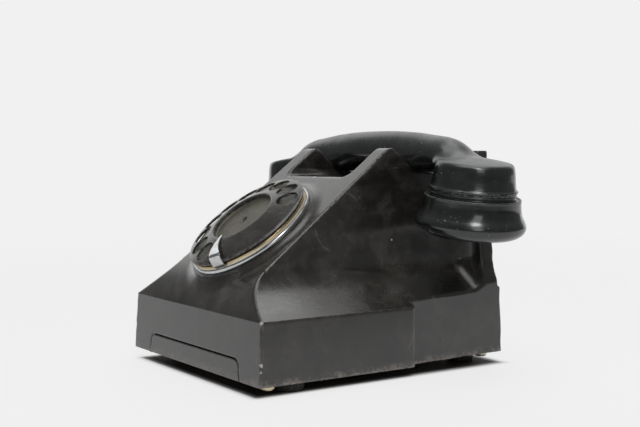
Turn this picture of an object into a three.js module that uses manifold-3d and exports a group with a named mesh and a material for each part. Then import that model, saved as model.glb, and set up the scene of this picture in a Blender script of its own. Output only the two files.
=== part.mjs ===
// A desk telephone of the 1940s in black bakelite: moulded case with a memo drawer, rotary dial,
// cradle with handset, and the ringer, dial and switch mechanisms inside.
// Millimetres, +Z up, the dial faces -Y. The origin is on the floor, under the middle of the case.
import * as THREE from "three";
import { mergeVertices } from "three/addons/utils/BufferGeometryUtils.js";
import Module from "manifold-3d";

const wasm = await Module();
wasm.setup();

// Driving sizes of the case
const caseDepth = 173.4;
const caseWall = 3.5;
const footHeight = 6;
const plinthTop = 39.8;
const plinthHalfTop = 76;
const plinthDraft = 1.6;
const plinthHalfBottom = plinthHalfTop + plinthDraft;
const frontDraft = 1.8;
const waistHalf = 49;
const waistHeight = 62;
const bodyTopHalf = 47;
const panelTilt = THREE.MathUtils.degToRad(37.5);
const panelFootY = 19;
const panelFootZ = 61.8;
const flareFrontY = 8;
const flareFrontZ = 53.4;
const flareSideZ = 54.6;

// Cradle: ears in front, horns behind, a saddle between them and a flat deck in the middle
const deckHeight = 111.6;
const earRise = 16.6;
const earTop = deckHeight + earRise;
const earRound = 2.4;
const hornRise = 14.7;
const hornTop = deckHeight + hornRise;
const saddleSetBack = 41.4;
const saddleY = caseDepth - saddleSetBack;
const saddleDrop = 4.1;
const saddleZ = deckHeight - saddleDrop;
const saddleHalf = 26.4;
const saddleKneeTop = 13.3;
const saddleKneeFoot = 9.6;
const saddleKneeRise = 3;
const deckHalf = 38.1;

// Rear of the case: recessed flanks, a ledge on the plinth and a thin flange that carries the horns
const recessFrontY = 101.6;
const recessFrontIn = 5.8;
const recessRearIn = 9.2;
const recessFrontHalf = plinthHalfTop - recessFrontIn;
const recessRearHalf = plinthHalfTop - recessRearIn;
const recessRound = 5;
const ledgeHeight = 44.8;
const ledgeSetIn = 1.6;
const rearPlinthDraft = 1.5;
const rearDraft = 4.6;
const flangeThickness = 8;
const flangeHalfFoot = 64.5;
const flangeHalfTop = 58.6;
const hollowFillet = 10;

// Dial, in its own frame: x to the right, y up the panel, z out of the panel
const dialUpPanel = 28.8;
const plateRadius = 38.1;
const plateThickness = 2.2;
const plateTop = 10.4;
const plateEdge = 0.6;
const fingerHoleRadius = 6.2;
const fingerHoleCircle = 30.2;
const fingerHoles = 10;
const fingerHoleStep = THREE.MathUtils.degToRad(26);
const firstHoleAngle = THREE.MathUtils.degToRad(38);
const stopAngle = THREE.MathUtils.degToRad(-68);
const stopTip = 17;
const stopHalf = 4.3;
const stopSheet = 0.9;
const stopLift = 1.2;
const labelRadius = 21.2;
const labelSheet = 0.8;
const labelDepth = 2.3;
const labelScrewRadius = 1.7;
const bossRadius = 40.6;
const bossHeight = 1.2;
const bossSkirt = 10;
const bossSkirtDepth = 12;
const bezelRadius = 39.3;
const bezelBead = 1.9;
const bezelTopRadius = 36.9;
const bezelHeight = 5;
const bezelSheet = 0.7;
const bezelFlange = 1.1;
const ringThickness = 0.7;
const ringInner = 21.5;
const dialHoleRadius = 33.4;
const framePlate = 2.6;
const frameDepth = 22;
const frameBackRadius = 28;
const pillarRadius = 2.2;
const pillarCircle = 26;
const shaftRadius = 3.1;
const shaftFlange = 9;

// Gears of the dial, teeth cut on a common module
const gearModule = 0.75;
const addendumShare = 0.8;
const dedendumShare = 1.1;
const mainTeeth = 48;
const pinionTeeth = 12;
const gearWidth = 1.5;
const gearBack = 8;
const barrelRadius = 9.6;
const barrelWall = 0.6;
const barrelHub = 4.3;
const wormWheelBack = 14.5;
const wormStarts = 3;
const wormRadius = 2.3;
const wormTooth = 0.5;
const wormLength = 9;
const spindleRadius = 1.1;
const spindleReach = 14;
const weightRadius = 4.6;
const weightWidth = 5;

// Handset: an arched handle with a bell at each end, and a screwed cap under each bell
const capCentreX = 88.7;
const capDrop = 26;
const capCentreZ = deckHeight - capDrop;
const capTilt = THREE.MathUtils.degToRad(7.5);
const capRadius = 31;
const capRimRadius = 28;
const capRise = 15.4;
const capRound = 1.2;
const capFaceRadius = 25;
const capFaceDrop = 6.5;
const capDish = 3;
const capFloor = 3;
const capInner = 24;
const soundHoleRadius = 1.6;
const soundHoleCircle = 7.5;
const soundHoles = 6;
const bellRimRadius = 25.4;
const bellRim = 19.1;
const bellWaistRadius = 22.9;
const bellTopRadius = 22.3;
const bellTop = 32.2;
const neckRadius = 23.6;
const neckWall = 2.4;
const neckDrop = 13;
const bellHollow = 8;
const bellRound = 0.9;
const capsuleHeight = 12;
const handleRise = 27.7;
const handleTop = deckHeight + handleRise;
const handleHeight = 19.8;
const handleDepth = 26;
const handleDrop = 21.3;
const handleLow = 3.8;
const handleRoundness = 0.85;

// Drawer in the plinth
const flapMargin = 20.6;
const flapHalf = plinthHalfTop - flapMargin;
const flapSlope = 1.6;
const flapTop = 17.3;
const flapRound = 6;
const flapThickness = 3;
const traySheet = 1;
const trayMargin = 7.1;
const trayHeight = 7;
const trayFloor = 7;
const trayRear = 8.4;
const trayLip = 3.6;
const runnerHeight = 2;
const runnerWidth = 4.6;

// Base plate, screws and feet
const baseSheet = 1.5;
const baseLift = 0.5;
const channelMargin = 19;
const channelHalf = plinthHalfTop - channelMargin;
const channelTop = 20.7;
const footRadius = 8;
const footNeck = 2.6;
const footLip = 1.6;
const footFrontIn = 14;
const footFrontY = 27;
const footRearIn = 18.8;
const footSetBack = 16.4;
const screwFrontIn = 7.4;
const screwFrontY = 9.5;
const screwRearIn = 8.8;
const screwSetBack = 9;
const screwRadius = 1.7;
const screwLength = 14;
const screwHead = 3.9;
const screwHeadHeight = 3.2;
const slotWidth = 0.9;
const slotDepth = 1;
const postRadius = 5.2;
const postHeight = 20;

// Cradle switch
const plungerX = 33;
const plungerRadius = 3.8;
const plungerProud = 5;
const plungerDrop = 14.6;
const plungerTop = deckHeight + plungerProud;
const plungerFoot = deckHeight - plungerDrop;
const plungerCollar = 1.6;
const switchBar = 1.5;
const switchBarDepth = 5;
const bracketHalf = 12;
const bracketGap = 9;
const bracketY = saddleY + bracketGap;
const bracketFoot = 76;
const springLeaf = 0.4;
const springLeaves = 4;
const springPitch = 1.9;
const springBlock = 7;
const pulseBlock = 6;
const pulseBlockY = -15;
const pulsePitch = 1.4;

// Ringer and electrical parts
const gongRadius = 24;
const gongX = 29.2;
const gongSetBack = 36.4;
const gongY = caseDepth - gongSetBack;
const gongRim = 27;
const gongHeight = 16;
const gongSheet = 1.6;
// Radius and height of the gong's outer face, from the rim to the crown
const gongShares = [[1, 0], [0.97, 0.6], [0.8, 0.9], [0.5, 1]];
const gongBore = 2.6;
const gongPost = 2.2;
const coilRadius = 8.6;
const coilX = 12;
const coilToGong = 41;
const coilY = gongY - coilToGong;
const coilHeight = 26;
const coilToChannelEnd = 13.5;
const coilCheek = 1.6;
const coreRadius = 3.4;
const yokeThickness = 2.4;
const yokeHalf = 23;
const clapperRod = 2.4;
const clapperBall = 3;
const terminalHalf = 22;
const terminalGap = 2.5;
const terminalDepth = 12;
const terminalHeight = 9;
const terminalScrews = 5;
const terminalScrewRadius = 2;
const capacitorWidth = 11;
const capacitorLength = 42;
const capacitorHeight = 26;
const flankY = 50;
const inductionRadius = 6.2;
const inductionLength = 46;
const inductionCheek = 3.2;
const grommetRadius = 5;
const grommetBore = 3.3;
const grommetHeight = 17;
const grommetIn = 14;
const grommetPitch = 18;
const handsetBushRadius = 4;
const handsetBushLength = 9;

// Clearances
const gap = 0.3;
const looseGap = 0.6;
const over = 5;
const farOut = 40;

const centreY = caseDepth / 2;
const caseBottom = footHeight;
const panelRise = Math.tan(panelTilt);
const panelNormal = new THREE.Vector2(-Math.sin(panelTilt), Math.cos(panelTilt));
const fine = 36;
const medium = 18;
const coarse = 12;
const holeSides = 8;
const handleSides = 18;

// A closed mesh as a solid that can be joined and cut
function solid(geometry) {
  const bare = geometry.clone();
  bare.deleteAttribute("normal");
  bare.deleteAttribute("uv");
  const merged = mergeVertices(bare, 1e-4);
  return new wasm.Manifold(
    new wasm.Mesh({
      numProp: 3,
      vertProperties: new Float32Array(merged.attributes.position.array),
      triVerts: new Uint32Array(merged.index.array),
    }),
  );
}

function join(...pieces) {
  return pieces.reduce((whole, piece) => whole.add(piece));
}

function cut(whole, ...tools) {
  return tools.reduce((left, tool) => left.subtract(tool), whole);
}

function geometryOf(made) {
  const mesh = made.getMesh();
  const geometry = new THREE.BufferGeometry();
  geometry.setAttribute("position", new THREE.BufferAttribute(mesh.vertProperties, mesh.numProp));
  geometry.setIndex(new THREE.BufferAttribute(mesh.triVerts, 1));
  return geometry;
}

const toX = new THREE.Matrix4().set(0, 0, 1, 0, 1, 0, 0, 0, 0, 1, 0, 0, 0, 0, 0, 1);
const toY = new THREE.Matrix4().set(1, 0, 0, 0, 0, 0, -1, 0, 0, 1, 0, 0, 0, 0, 0, 1);

function extruded(points, depth) {
  const shape = new THREE.Shape(points.map(([u, v]) => new THREE.Vector2(u, v)));
  return new THREE.ExtrudeGeometry(shape, { depth, bevelEnabled: false });
}

// Prisms along X, Y and Z, from outlines in (y, z), (x, z) and (x, y)
function prismX(points, from, to) {
  return solid(extruded(points, to - from).translate(0, 0, from).applyMatrix4(toX));
}

function prismY(points, from, to) {
  return solid(extruded(points, to - from).translate(0, 0, -to).applyMatrix4(toY));
}

function prismZ(points, from, to) {
  return solid(extruded(points, to - from).translate(0, 0, from));
}

function block(x0, x1, y0, y1, z0, z1) {
  const box = new THREE.BoxGeometry(x1 - x0, y1 - y0, z1 - z0);
  return solid(box.translate((x0 + x1) / 2, (y0 + y1) / 2, (z0 + z1) / 2));
}

// A turned piece about Z from an outline of [radius, z] that closes on itself or on the axis
function turned(profile, segments) {
  const points = profile.map(([r, z]) => new THREE.Vector2(r, z));
  if (profile[0][0] > 0) points.push(points[0].clone());
  return solid(new THREE.LatheGeometry(points, segments).rotateX(Math.PI / 2));
}

function rod(radius, from, to, segments = medium) {
  return turned([[0, from], [radius, from], [radius, to], [0, to]], segments);
}

function tube(inner, outer, from, to, segments = medium) {
  return turned([[inner, from], [outer, from], [outer, to], [inner, to]], segments);
}

function rodX(radius, from, to, segments = coarse) {
  return rod(radius, from, to, segments).rotate([0, 90, 0]);
}

function rodY(radius, from, to, segments = coarse) {
  return rod(radius, -to, -from, segments).rotate([90, 0, 0]);
}

// Joins rings of equal count into a closed skin
function lofted(rings) {
  const count = rings[0].length;
  const position = rings.flat().flatMap((p) => [p.x, p.y, p.z]);
  const index = [];
  for (let i = 0; i + 1 < rings.length; i += 1) {
    for (let j = 0; j < count; j += 1) {
      const a = i * count + j;
      const b = i * count + ((j + 1) % count);
      index.push(a, b, a + count, b, b + count, a + count);
    }
  }
  const last = (rings.length - 1) * count;
  for (let j = 1; j + 1 < count; j += 1) {
    index.push(0, j + 1, j);
    index.push(last, last + j, last + j + 1);
  }
  const geometry = new THREE.BufferGeometry();
  geometry.setAttribute("position", new THREE.Float32BufferAttribute(position, 3));
  geometry.setIndex(index);
  return solid(geometry);
}

function mirrored(half) {
  const other = half.map(([x, z]) => [-x, z]).reverse();
  return [...half, ...other];
}

function outline(build, divisions) {
  const path = new THREE.Path();
  build(path);
  return path.getPoints(divisions).map((p) => [p.x, p.y]);
}

const part = new THREE.Group();
part.position.y = -centreY;

function addTo(group, name, made, { color, roughness, metalness = 0 }) {
  const material = new THREE.MeshStandardMaterial({ color, roughness, metalness });
  const mesh = new THREE.Mesh(geometryOf(made), material);
  mesh.name = name;
  group.add(mesh);
  return mesh;
}

const bakelite = { color: 0x0d0c0b, roughness: 0.28 };
const chrome = { color: 0xc9c9c4, roughness: 0.18, metalness: 1 };
const brass = { color: 0xa98a4b, roughness: 0.35, metalness: 1 };
const steel = { color: 0x85868a, roughness: 0.42, metalness: 1 };
const rubber = { color: 0x141414, roughness: 0.85 };
const enamel = { color: 0xcfc9ae, roughness: 0.4 };
const wound = { color: 0x5c3a1c, roughness: 0.6 };
const fibre = { color: 0x3a2a1c, roughness: 0.7 };

// Case
const flareX = waistHalf;
const deckFrontY = panelFootY + (deckHeight - panelFootZ) / panelRise;
const earY = panelFootY + (earTop - panelFootZ) / panelRise;
const rearPlinthY = caseDepth - rearPlinthDraft;
const rearWallY = rearPlinthY - ledgeSetIn;
const rearTopY = caseDepth - rearDraft;
const panelPoint = (y) => panelFootZ + (y - panelFootY) * panelRise;

function saddle(path, z) {
  path.bezierCurveTo(
    saddleY - saddleKneeTop, z,
    saddleY - saddleKneeFoot, saddleZ + saddleKneeRise,
    saddleY, saddleZ,
  );
}

const sideOutline = outline((path) => {
  path.moveTo(0, caseBottom);
  path.lineTo(frontDraft, plinthTop);
  path.quadraticCurveTo(flareFrontY, flareFrontZ, panelFootY, panelFootZ);
  path.lineTo(earY - earRound, panelPoint(earY - earRound));
  path.quadraticCurveTo(earY, earTop, earY + earRound, earTop);
  saddle(path, earTop);
  path.bezierCurveTo(
    saddleY + saddleKneeFoot, saddleZ + saddleKneeRise,
    saddleY + saddleKneeTop, hornTop,
    saddleY + saddleHalf, hornTop,
  );
  path.lineTo(rearTopY, hornTop);
  path.lineTo(rearWallY, ledgeHeight + ledgeSetIn);
  path.lineTo(rearPlinthY, ledgeHeight);
  path.lineTo(caseDepth, caseBottom);
}, 8);

const frontOutline = mirrored(outline((path) => {
  path.moveTo(plinthHalfBottom, caseBottom);
  path.lineTo(plinthHalfTop, plinthTop);
  path.quadraticCurveTo(flareX, flareSideZ, waistHalf, waistHeight);
  path.lineTo(bodyTopHalf, earTop + over);
}, 8));

const innerPanelY = panelFootY - panelNormal.x * caseWall;
const innerPanelZ = panelFootZ - panelNormal.y * caseWall;
const innerDeck = deckHeight - caseWall;
const innerDeckY = innerPanelY + (innerDeck - innerPanelZ) / panelRise;

const sideInner = outline((path) => {
  path.moveTo(caseWall, caseBottom - over);
  path.lineTo(frontDraft + caseWall, plinthTop);
  path.quadraticCurveTo(flareFrontY + caseWall, flareFrontZ - caseWall / 2, innerPanelY, innerPanelZ);
  path.lineTo(innerDeckY, innerDeck);
  path.lineTo(rearTopY - caseWall, innerDeck);
  path.lineTo(rearWallY - caseWall, ledgeHeight);
  path.lineTo(rearPlinthY - caseWall, ledgeHeight - caseWall);
  path.lineTo(caseDepth - caseWall, caseBottom - over);
}, 6);

const frontInner = mirrored(outline((path) => {
  path.moveTo(plinthHalfBottom - caseWall, caseBottom - over);
  path.lineTo(plinthHalfTop - caseWall, plinthTop - caseWall / 2);
  path.quadraticCurveTo(flareX - caseWall, flareSideZ - caseWall / 2, waistHalf - caseWall, waistHeight);
  path.lineTo(bodyTopHalf - caseWall, saddleZ - caseWall);
  path.lineTo(deckHalf - caseWall, saddleZ - caseWall);
  path.lineTo(deckHalf - caseWall, deckHeight);
}, 6));

// The flanks behind the step, cut back by a plane that closes in towards the rear
function recess(side, inset) {
  const frontHalf = recessFrontHalf - inset;
  const rearHalf = recessRearHalf - inset;
  const stepY = recessFrontY - inset;
  const outer = plinthHalfBottom + farOut;
  const points = outline((path) => {
    path.moveTo(frontHalf, stepY);
    path.lineTo(plinthHalfBottom - recessRound, stepY);
    path.quadraticCurveTo(plinthHalfBottom, stepY, plinthHalfBottom, stepY - recessRound);
    path.lineTo(outer, stepY - recessRound);
    path.lineTo(outer, caseDepth + over);
    path.lineTo(rearHalf, caseDepth + over);
  }, 5);
  const placed = points.map(([x, y]) => [side * x, y]);
  return prismZ(placed, caseBottom - over - gap, earTop + over);
}

// The soft corner where the rear flange meets the sweep of the flank
function flankFillet(side) {
  const sweep = outline((path) => {
    path.moveTo(plinthHalfTop, plinthTop);
    path.quadraticCurveTo(flareX, flareSideZ, waistHalf, waistHeight);
  }, 8).filter(([x]) => x < recessFrontHalf - caseWall);
  const face = rearTopY - flangeThickness + gap;
  const rings = [...sweep, [bodyTopHalf - caseWall / 2, waistHeight + over]].map(([x, z]) => {
    const section = outline((path) => {
      path.moveTo(face + caseWall, z - caseWall / 2);
      path.lineTo(face + caseWall, z + hollowFillet);
      path.lineTo(face, z + hollowFillet);
      path.quadraticCurveTo(face, z, face - hollowFillet, z);
      path.lineTo(face - hollowFillet, z - caseWall / 2);
    }, 5);
    return section.map(([y, height]) => new THREE.Vector3(side * x, y, height));
  });
  return lofted(side > 0 ? rings.reverse() : rings);
}

const dialFrame = new THREE.Group();
dialFrame.position.set(
  0,
  panelFootY + dialUpPanel * Math.cos(panelTilt),
  panelFootZ + dialUpPanel * Math.sin(panelTilt),
);
dialFrame.rotation.x = panelTilt;
dialFrame.updateMatrix();

function onPanel(made) {
  return solid(geometryOf(made).applyMatrix4(dialFrame.matrix));
}

const screwFrontX = plinthHalfTop - screwFrontIn;
const screwRearX = recessRearHalf - screwRearIn;
const screwRearY = caseDepth - screwSetBack;
const cornerScrews = [
  ["front_left", -screwFrontX, screwFrontY],
  ["front_right", screwFrontX, screwFrontY],
  ["rear_left", -screwRearX, screwRearY],
  ["rear_right", screwRearX, screwRearY],
];
const baseBottom = caseBottom + baseLift;
const baseTop = baseBottom + baseSheet;
const postFoot = baseTop + gap;

function flapOutline(inset) {
  const half = flapHalf + inset;
  const top = flapTop + inset;
  return mirrored(outline((path) => {
    path.moveTo(half, caseBottom);
    path.lineTo(half - flapSlope, top - flapRound);
    path.quadraticCurveTo(half - flapSlope, top, half - flapSlope - flapRound, top);
  }, 6));
}

// The line cord's grommet lies beside the rear left screw, and the handset cord's inside it
function grommetAxis(i) {
  return grommetIn + (1 - i) * grommetPitch - screwRearX;
}

function makeCase() {
  const sides = prismX(sideOutline, -plinthHalfBottom - over, plinthHalfBottom + over);
  const body = prismY(frontOutline, -over, caseDepth + over);
  const flangeHalf = mirrored([
    [flangeHalfFoot, plinthTop],
    [flangeHalfFoot, ledgeHeight],
    [flangeHalfTop, hornTop + over],
  ]);
  const flangeFront = rearTopY - flangeThickness;
  const flange = prismY(flangeHalf, flangeFront, caseDepth + over);
  const boss = onPanel(turned([
    [0, -bossSkirtDepth],
    [bossRadius + bossSkirt, -bossSkirtDepth],
    [bossRadius + bossSkirt / 2, -bossSkirtDepth / 2],
    [bossRadius + bossHeight, -bossHeight],
    [bossRadius, bossHeight],
    [0, bossHeight],
  ], fine)).intersect(body);
  const deckCut = block(
    -deckHalf, deckHalf, deckFrontY - over, caseDepth + over, deckHeight, earTop + over,
  );
  const deck = block(-deckHalf, deckHalf, deckFrontY, flangeFront, saddleZ - caseWall, deckHeight);
  const outside = cut(
    join(sides.intersect(join(body, flange)), deck, boss, flankFillet(1), flankFillet(-1)),
    deckCut, recess(1, 0), recess(-1, 0),
  );
  const room = cut(
    prismX(sideInner, -plinthHalfBottom, plinthHalfBottom)
      .intersect(prismY(frontInner, 0, caseDepth)),
    recess(1, caseWall), recess(-1, caseWall),
  );
  const posts = cornerScrews.map(([, x, y]) =>
    cut(
      rod(postRadius, postFoot, postFoot + postHeight, coarse),
      rod(screwRadius + gap, postFoot - over, postFoot + screwLength, coarse),
    ).translate([x, y, 0]),
  );
  const wells = [-1, 1].map((side) =>
    rod(plungerRadius + gap, innerDeck - over, earTop, medium).translate([side * plungerX, saddleY, 0]),
  );
  const inlets = [0, 1].map((i) =>
    rodY(grommetRadius + gap, caseDepth - caseWall - over, caseDepth + over, medium)
      .translate([grommetAxis(i), 0, grommetHeight]),
  );
  const dialHole = onPanel(rod(dialHoleRadius, -frameDepth, bossHeight + over, fine));
  const flapHole = join(
    prismY(flapOutline(gap), -over, caseWall + over),
    block(-flapHalf - gap, flapHalf + gap, -over, caseWall + over, caseBottom - over, caseBottom),
  );
  const shell = cut(outside, room, dialHole, flapHole, ...wells, ...inlets);
  return join(shell, ...posts.map((post) => post.intersect(outside)));
}

addTo(part, "case", makeCase(), bakelite);

// Base plate with a channel over the drawer, held by four slotted brass screws, on rubber feet
const footFrontX = plinthHalfTop - footFrontIn;
const footRearX = recessRearHalf - footRearIn;
const footRearY = caseDepth - footSetBack;
const feet = [
  ["front_left", -footFrontX, footFrontY],
  ["front_right", footFrontX, footFrontY],
  ["rear_left", -footRearX, footRearY],
  ["rear_right", footRearX, footRearY],
];
const baseFront = frontDraft + caseWall + looseGap;
const baseRear = caseDepth - caseWall - looseGap;
const channelInner = channelHalf - baseSheet;
const channelEnd = coilY + coilToChannelEnd;

function makeBasePlate() {
  const half = plinthHalfTop - caseWall - looseGap;
  const sheet = block(-half, half, baseFront, baseRear, baseBottom, baseTop);
  const clearance = caseWall + looseGap;
  const trimmed = cut(sheet, recess(1, clearance), recess(-1, clearance));
  const channel = block(-channelHalf, channelHalf, baseFront, channelEnd, baseBottom, channelTop);
  const inside = block(
    -channelInner, channelInner,
    baseFront - over, channelEnd - baseSheet, baseBottom - over, channelTop - baseSheet,
  );
  const screwHoles = cornerScrews.map(([, x, y]) =>
    rod(screwRadius + gap, baseBottom - over, baseTop + over, coarse).translate([x, y, 0]),
  );
  const footHoles = feet.map(([, x, y]) =>
    rod(footNeck + gap, baseBottom - over, baseTop + over, coarse).translate([x, y, 0]),
  );
  return cut(join(trimmed, channel), inside, ...screwHoles, ...footHoles);
}

addTo(part, "base_plate", makeBasePlate(), steel);

cornerScrews.forEach(([place, x, y]) => {
  const seat = baseBottom - gap;
  const low = seat - screwHeadHeight;
  const made = cut(
    join(
      turned([
        [0, low],
        [screwHead - slotDepth / 2, low],
        [screwHead, low + slotDepth / 2],
        [screwHead, seat],
        [0, seat],
      ], medium),
      rod(screwRadius, seat - slotDepth, postFoot + screwLength - gap, coarse),
    ),
    block(
      -screwHead - over, screwHead + over, -slotWidth / 2, slotWidth / 2, low - over, low + slotDepth,
    ),
  );
  addTo(part, `case_screw_${place}`, made.translate([x, y, 0]), brass);
});

feet.forEach(([place, x, y]) => {
  const seat = baseBottom - gap;
  const made = turned([
    [0, 0],
    [footRadius - gap, 0],
    [footRadius, seat / 2],
    [footRadius - looseGap, seat],
    [footNeck, seat],
    [footNeck, baseTop + gap],
    [footNeck + footLip, baseTop + gap],
    [footNeck, baseTop + gap + footNeck],
    [0, baseTop + gap + footNeck],
  ], medium);
  addTo(part, `foot_${place}`, made.translate([x, y, 0]), rubber);
});

// Drawer: a moulded flap on a sheet metal tray, which hangs by its lips on two runners
function makeFlap() {
  const sides = prismX(sideOutline, -flapHalf - over, flapHalf + over);
  return prismY(flapOutline(0), -over, flapThickness + gap).intersect(sides);
}

const trayFront = flapThickness + looseGap;
const trayHalf = channelHalf - trayMargin;
const trayBack = channelEnd - baseSheet - trayRear;
const trayTop = trayFloor + trayHeight;

function makeTray() {
  const inner = trayHalf - traySheet;
  const lip = trayHalf + trayLip;
  const shell = block(-trayHalf, trayHalf, trayFront, trayBack, trayFloor, trayTop);
  const room = block(
    -inner, inner, trayFront + traySheet, trayBack - traySheet, trayFloor + traySheet, trayTop + over,
  );
  const lips = block(-lip, lip, trayFront + over, trayBack, trayTop - traySheet, trayTop);
  const between = block(
    -inner, inner, trayFront, trayBack - traySheet, trayFloor + traySheet, trayTop + over,
  );
  return join(cut(shell, room), cut(lips, between));
}

addTo(part, "drawer_flap", makeFlap(), bakelite);
addTo(part, "drawer_tray", makeTray(), steel);

[["left", -1], ["right", 1]].forEach(([place, side]) => {
  const outer = channelInner - gap;
  const top = trayTop - traySheet - gap;
  const ends = [side * (outer - runnerWidth), side * outer].sort((a, b) => a - b);
  const made = block(...ends, baseFront + over, channelEnd - baseSheet - gap, top - runnerHeight, top);
  addTo(part, `drawer_runner_${place}`, made, steel);
});

// Dial
part.add(dialFrame);
const plateBottom = plateTop - plateThickness;
const cupTop = plateTop - plateEdge;
const cupFloor = plateTop - labelDepth - labelSheet;
const cupRadius = labelRadius - gap;
const bezelFoot = bossHeight + gap;
const beadTop = bezelFoot + bezelBead;
const bezelLip = bezelFoot + bezelHeight;
const ringBottom = bezelFoot + bezelFlange + gap;

function makeBezel() {
  return turned([
    [dialHoleRadius - framePlate, bezelFoot],
    [bezelRadius - plateEdge, bezelFoot],
    [bezelRadius, bezelFoot + plateEdge],
    [bezelRadius, beadTop - plateEdge],
    [bezelRadius - plateEdge, beadTop],
    [bezelRadius - plateEdge * 2, beadTop],
    [bezelTopRadius, bezelLip],
    [bezelTopRadius - bezelSheet, bezelLip],
    [bezelTopRadius - bezelSheet, bezelFoot + bezelFlange],
    [dialHoleRadius - framePlate, bezelFoot + bezelFlange],
  ], fine);
}

function makeFingerPlate() {
  const disc = turned([
    [labelRadius, plateBottom],
    [plateRadius - plateEdge, plateBottom],
    [plateRadius, plateBottom + plateEdge],
    [plateRadius, plateTop - plateEdge],
    [plateRadius - plateEdge, plateTop],
    [labelRadius, plateTop],
  ], fine);
  const holes = Array.from({ length: fingerHoles }, (_, i) => {
    const angle = firstHoleAngle + i * fingerHoleStep;
    return rod(fingerHoleRadius, plateBottom - over, plateTop + over, medium).translate([
      fingerHoleCircle * Math.cos(angle),
      fingerHoleCircle * Math.sin(angle),
      0,
    ]);
  });
  return cut(disc, ...holes);
}

// Trapezoid teeth about Z; the tooth flanks keep a little backlash
function gear(teeth, back, front) {
  const pitch = (teeth * gearModule) / 2;
  const tip = pitch + gearModule * addendumShare;
  const root = pitch - gearModule * dedendumShare;
  const step = (2 * Math.PI) / teeth;
  const widthShares = [[-0.3, root], [-0.12, tip], [0.12, tip], [0.3, root]];
  const points = Array.from({ length: teeth }, (_, i) =>
    widthShares.map(([share, r]) => {
      const angle = (i + share) * step;
      return [r * Math.cos(angle), r * Math.sin(angle)];
    }),
  ).flat();
  return prismZ(points, back, front);
}

const gearFront = gearWidth - gearBack;
const pinionTurn = 90 + 180 / pinionTeeth;
const pinionCentre = ((mainTeeth + pinionTeeth) * gearModule) / 2;
const backPlate = -frameDepth + framePlate;
const frameFront = bossHeight;
const frameBack = frameFront - framePlate;
const spindleY = pinionCentre - (pinionTeeth * gearModule) / 2 - gearModule - wormRadius - wormTooth;
const spindleZ = gearWidth / 2 - wormWheelBack;
const wormLead = wormStarts * gearModule * Math.PI;

function makeDialFrame() {
  const bore = rod(shaftRadius + gap, -frameDepth - over, over, medium);
  const front = rod(dialHoleRadius - looseGap, frameBack, frameFront, fine);
  const back = rod(frameBackRadius, -frameDepth, backPlate, medium);
  const pillars = [Math.PI / 6, (5 * Math.PI) / 6, (3 * Math.PI) / 2].map((angle) =>
    rod(pillarRadius, -frameDepth + gap, frameFront - gap, coarse).translate([
      pillarCircle * Math.cos(angle),
      pillarCircle * Math.sin(angle),
      0,
    ]),
  );
  const lugEnds = [framePlate - spindleReach, spindleReach - framePlate * 2];
  const lugs = lugEnds.map((x) =>
    cut(
      block(
        x - framePlate, x, spindleY - pillarRadius, spindleY + pillarRadius,
        -frameDepth + gap, spindleZ + pillarRadius,
      ),
      rodX(spindleRadius + gap, x - over, x + over).translate([0, spindleY, spindleZ]),
    ),
  );
  return cut(join(front, back, ...pillars, ...lugs), bore);
}

function makeFingerStop() {
  const shoulder = plateTop + stopLift;
  const outer = bezelRadius + looseGap;
  const side = [
    [outer - stopSheet, beadTop + gap],
    [outer, beadTop + gap],
    [outer, shoulder + stopSheet / 2],
    [outer - stopSheet / 2, shoulder + stopSheet],
    [stopTip, shoulder + stopSheet],
    [stopTip, shoulder],
    [outer - stopSheet, shoulder],
  ];
  const plan = mirrored([
    [stopHalf, outer + over],
    [stopHalf, fingerHoleCircle],
    [stopSheet, stopTip - over],
  ]);
  const strap = prismX(side, -stopHalf - over, stopHalf + over).intersect(
    prismZ(plan, 0, shoulder + over),
  );
  return strap.rotate([0, 0, THREE.MathUtils.radToDeg(stopAngle) - 90]);
}

function makeShaft() {
  return turned([
    [0, backPlate - framePlate + gap],
    [shaftRadius, backPlate - framePlate + gap],
    [shaftRadius, cupFloor - gap - labelSheet],
    [shaftFlange, cupFloor - gap - labelSheet],
    [shaftFlange, cupFloor - gap],
    [0, cupFloor - gap],
  ], medium);
}

function makeGovernorPinion() {
  const drive = gear(pinionTeeth, -gearBack - gap, gearFront + gap).rotate([0, 0, pinionTurn]);
  const wormWheel = gear(pinionTeeth, -wormWheelBack, gearWidth - wormWheelBack);
  const spindle = rod(spindleRadius, backPlate + gap, frameBack - gap, coarse);
  return join(drive, wormWheel, spindle).translate([0, pinionCentre, 0]);
}

function makeGovernorSpindle() {
  const lobes = 4 * wormStarts;
  const rings = Array.from({ length: coarse + 1 }, (_, i) => {
    const along = (i / coarse) * wormLength - wormLength / 2;
    const twist = (along / wormLead) * 2 * Math.PI;
    return Array.from({ length: lobes }, (_, j) => {
      const angle = (j / lobes) * 2 * Math.PI;
      const r = wormRadius + wormTooth * Math.cos(wormStarts * angle);
      return new THREE.Vector3(along, r * Math.cos(angle + twist), r * Math.sin(angle + twist));
    });
  });
  const hub = spindleReach - framePlate / 2;
  const weights = rodX(weightRadius, hub - looseGap, hub + weightWidth, medium);
  const arm = rodX(spindleRadius, -spindleReach, spindleReach);
  return join(lofted(rings), weights, arm).translate([0, spindleY, spindleZ]);
}

function makePulseSprings() {
  const far = frameBackRadius - pillarRadius * 2 - looseGap;
  const front = pulseBlockY + pulseBlock;
  const carrier = block(far - pulseBlock, far, pulseBlockY, front, backPlate + gap, frameBack - gap);
  const leaves = Array.from({ length: springLeaves - 1 }, (_, i) => {
    const z = frameBack - (i + 1) * pulsePitch;
    return block(shaftFlange, far - gap, pulseBlockY + gap, front - gap, z - springLeaf, z);
  });
  return join(carrier, ...leaves);
}

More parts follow.
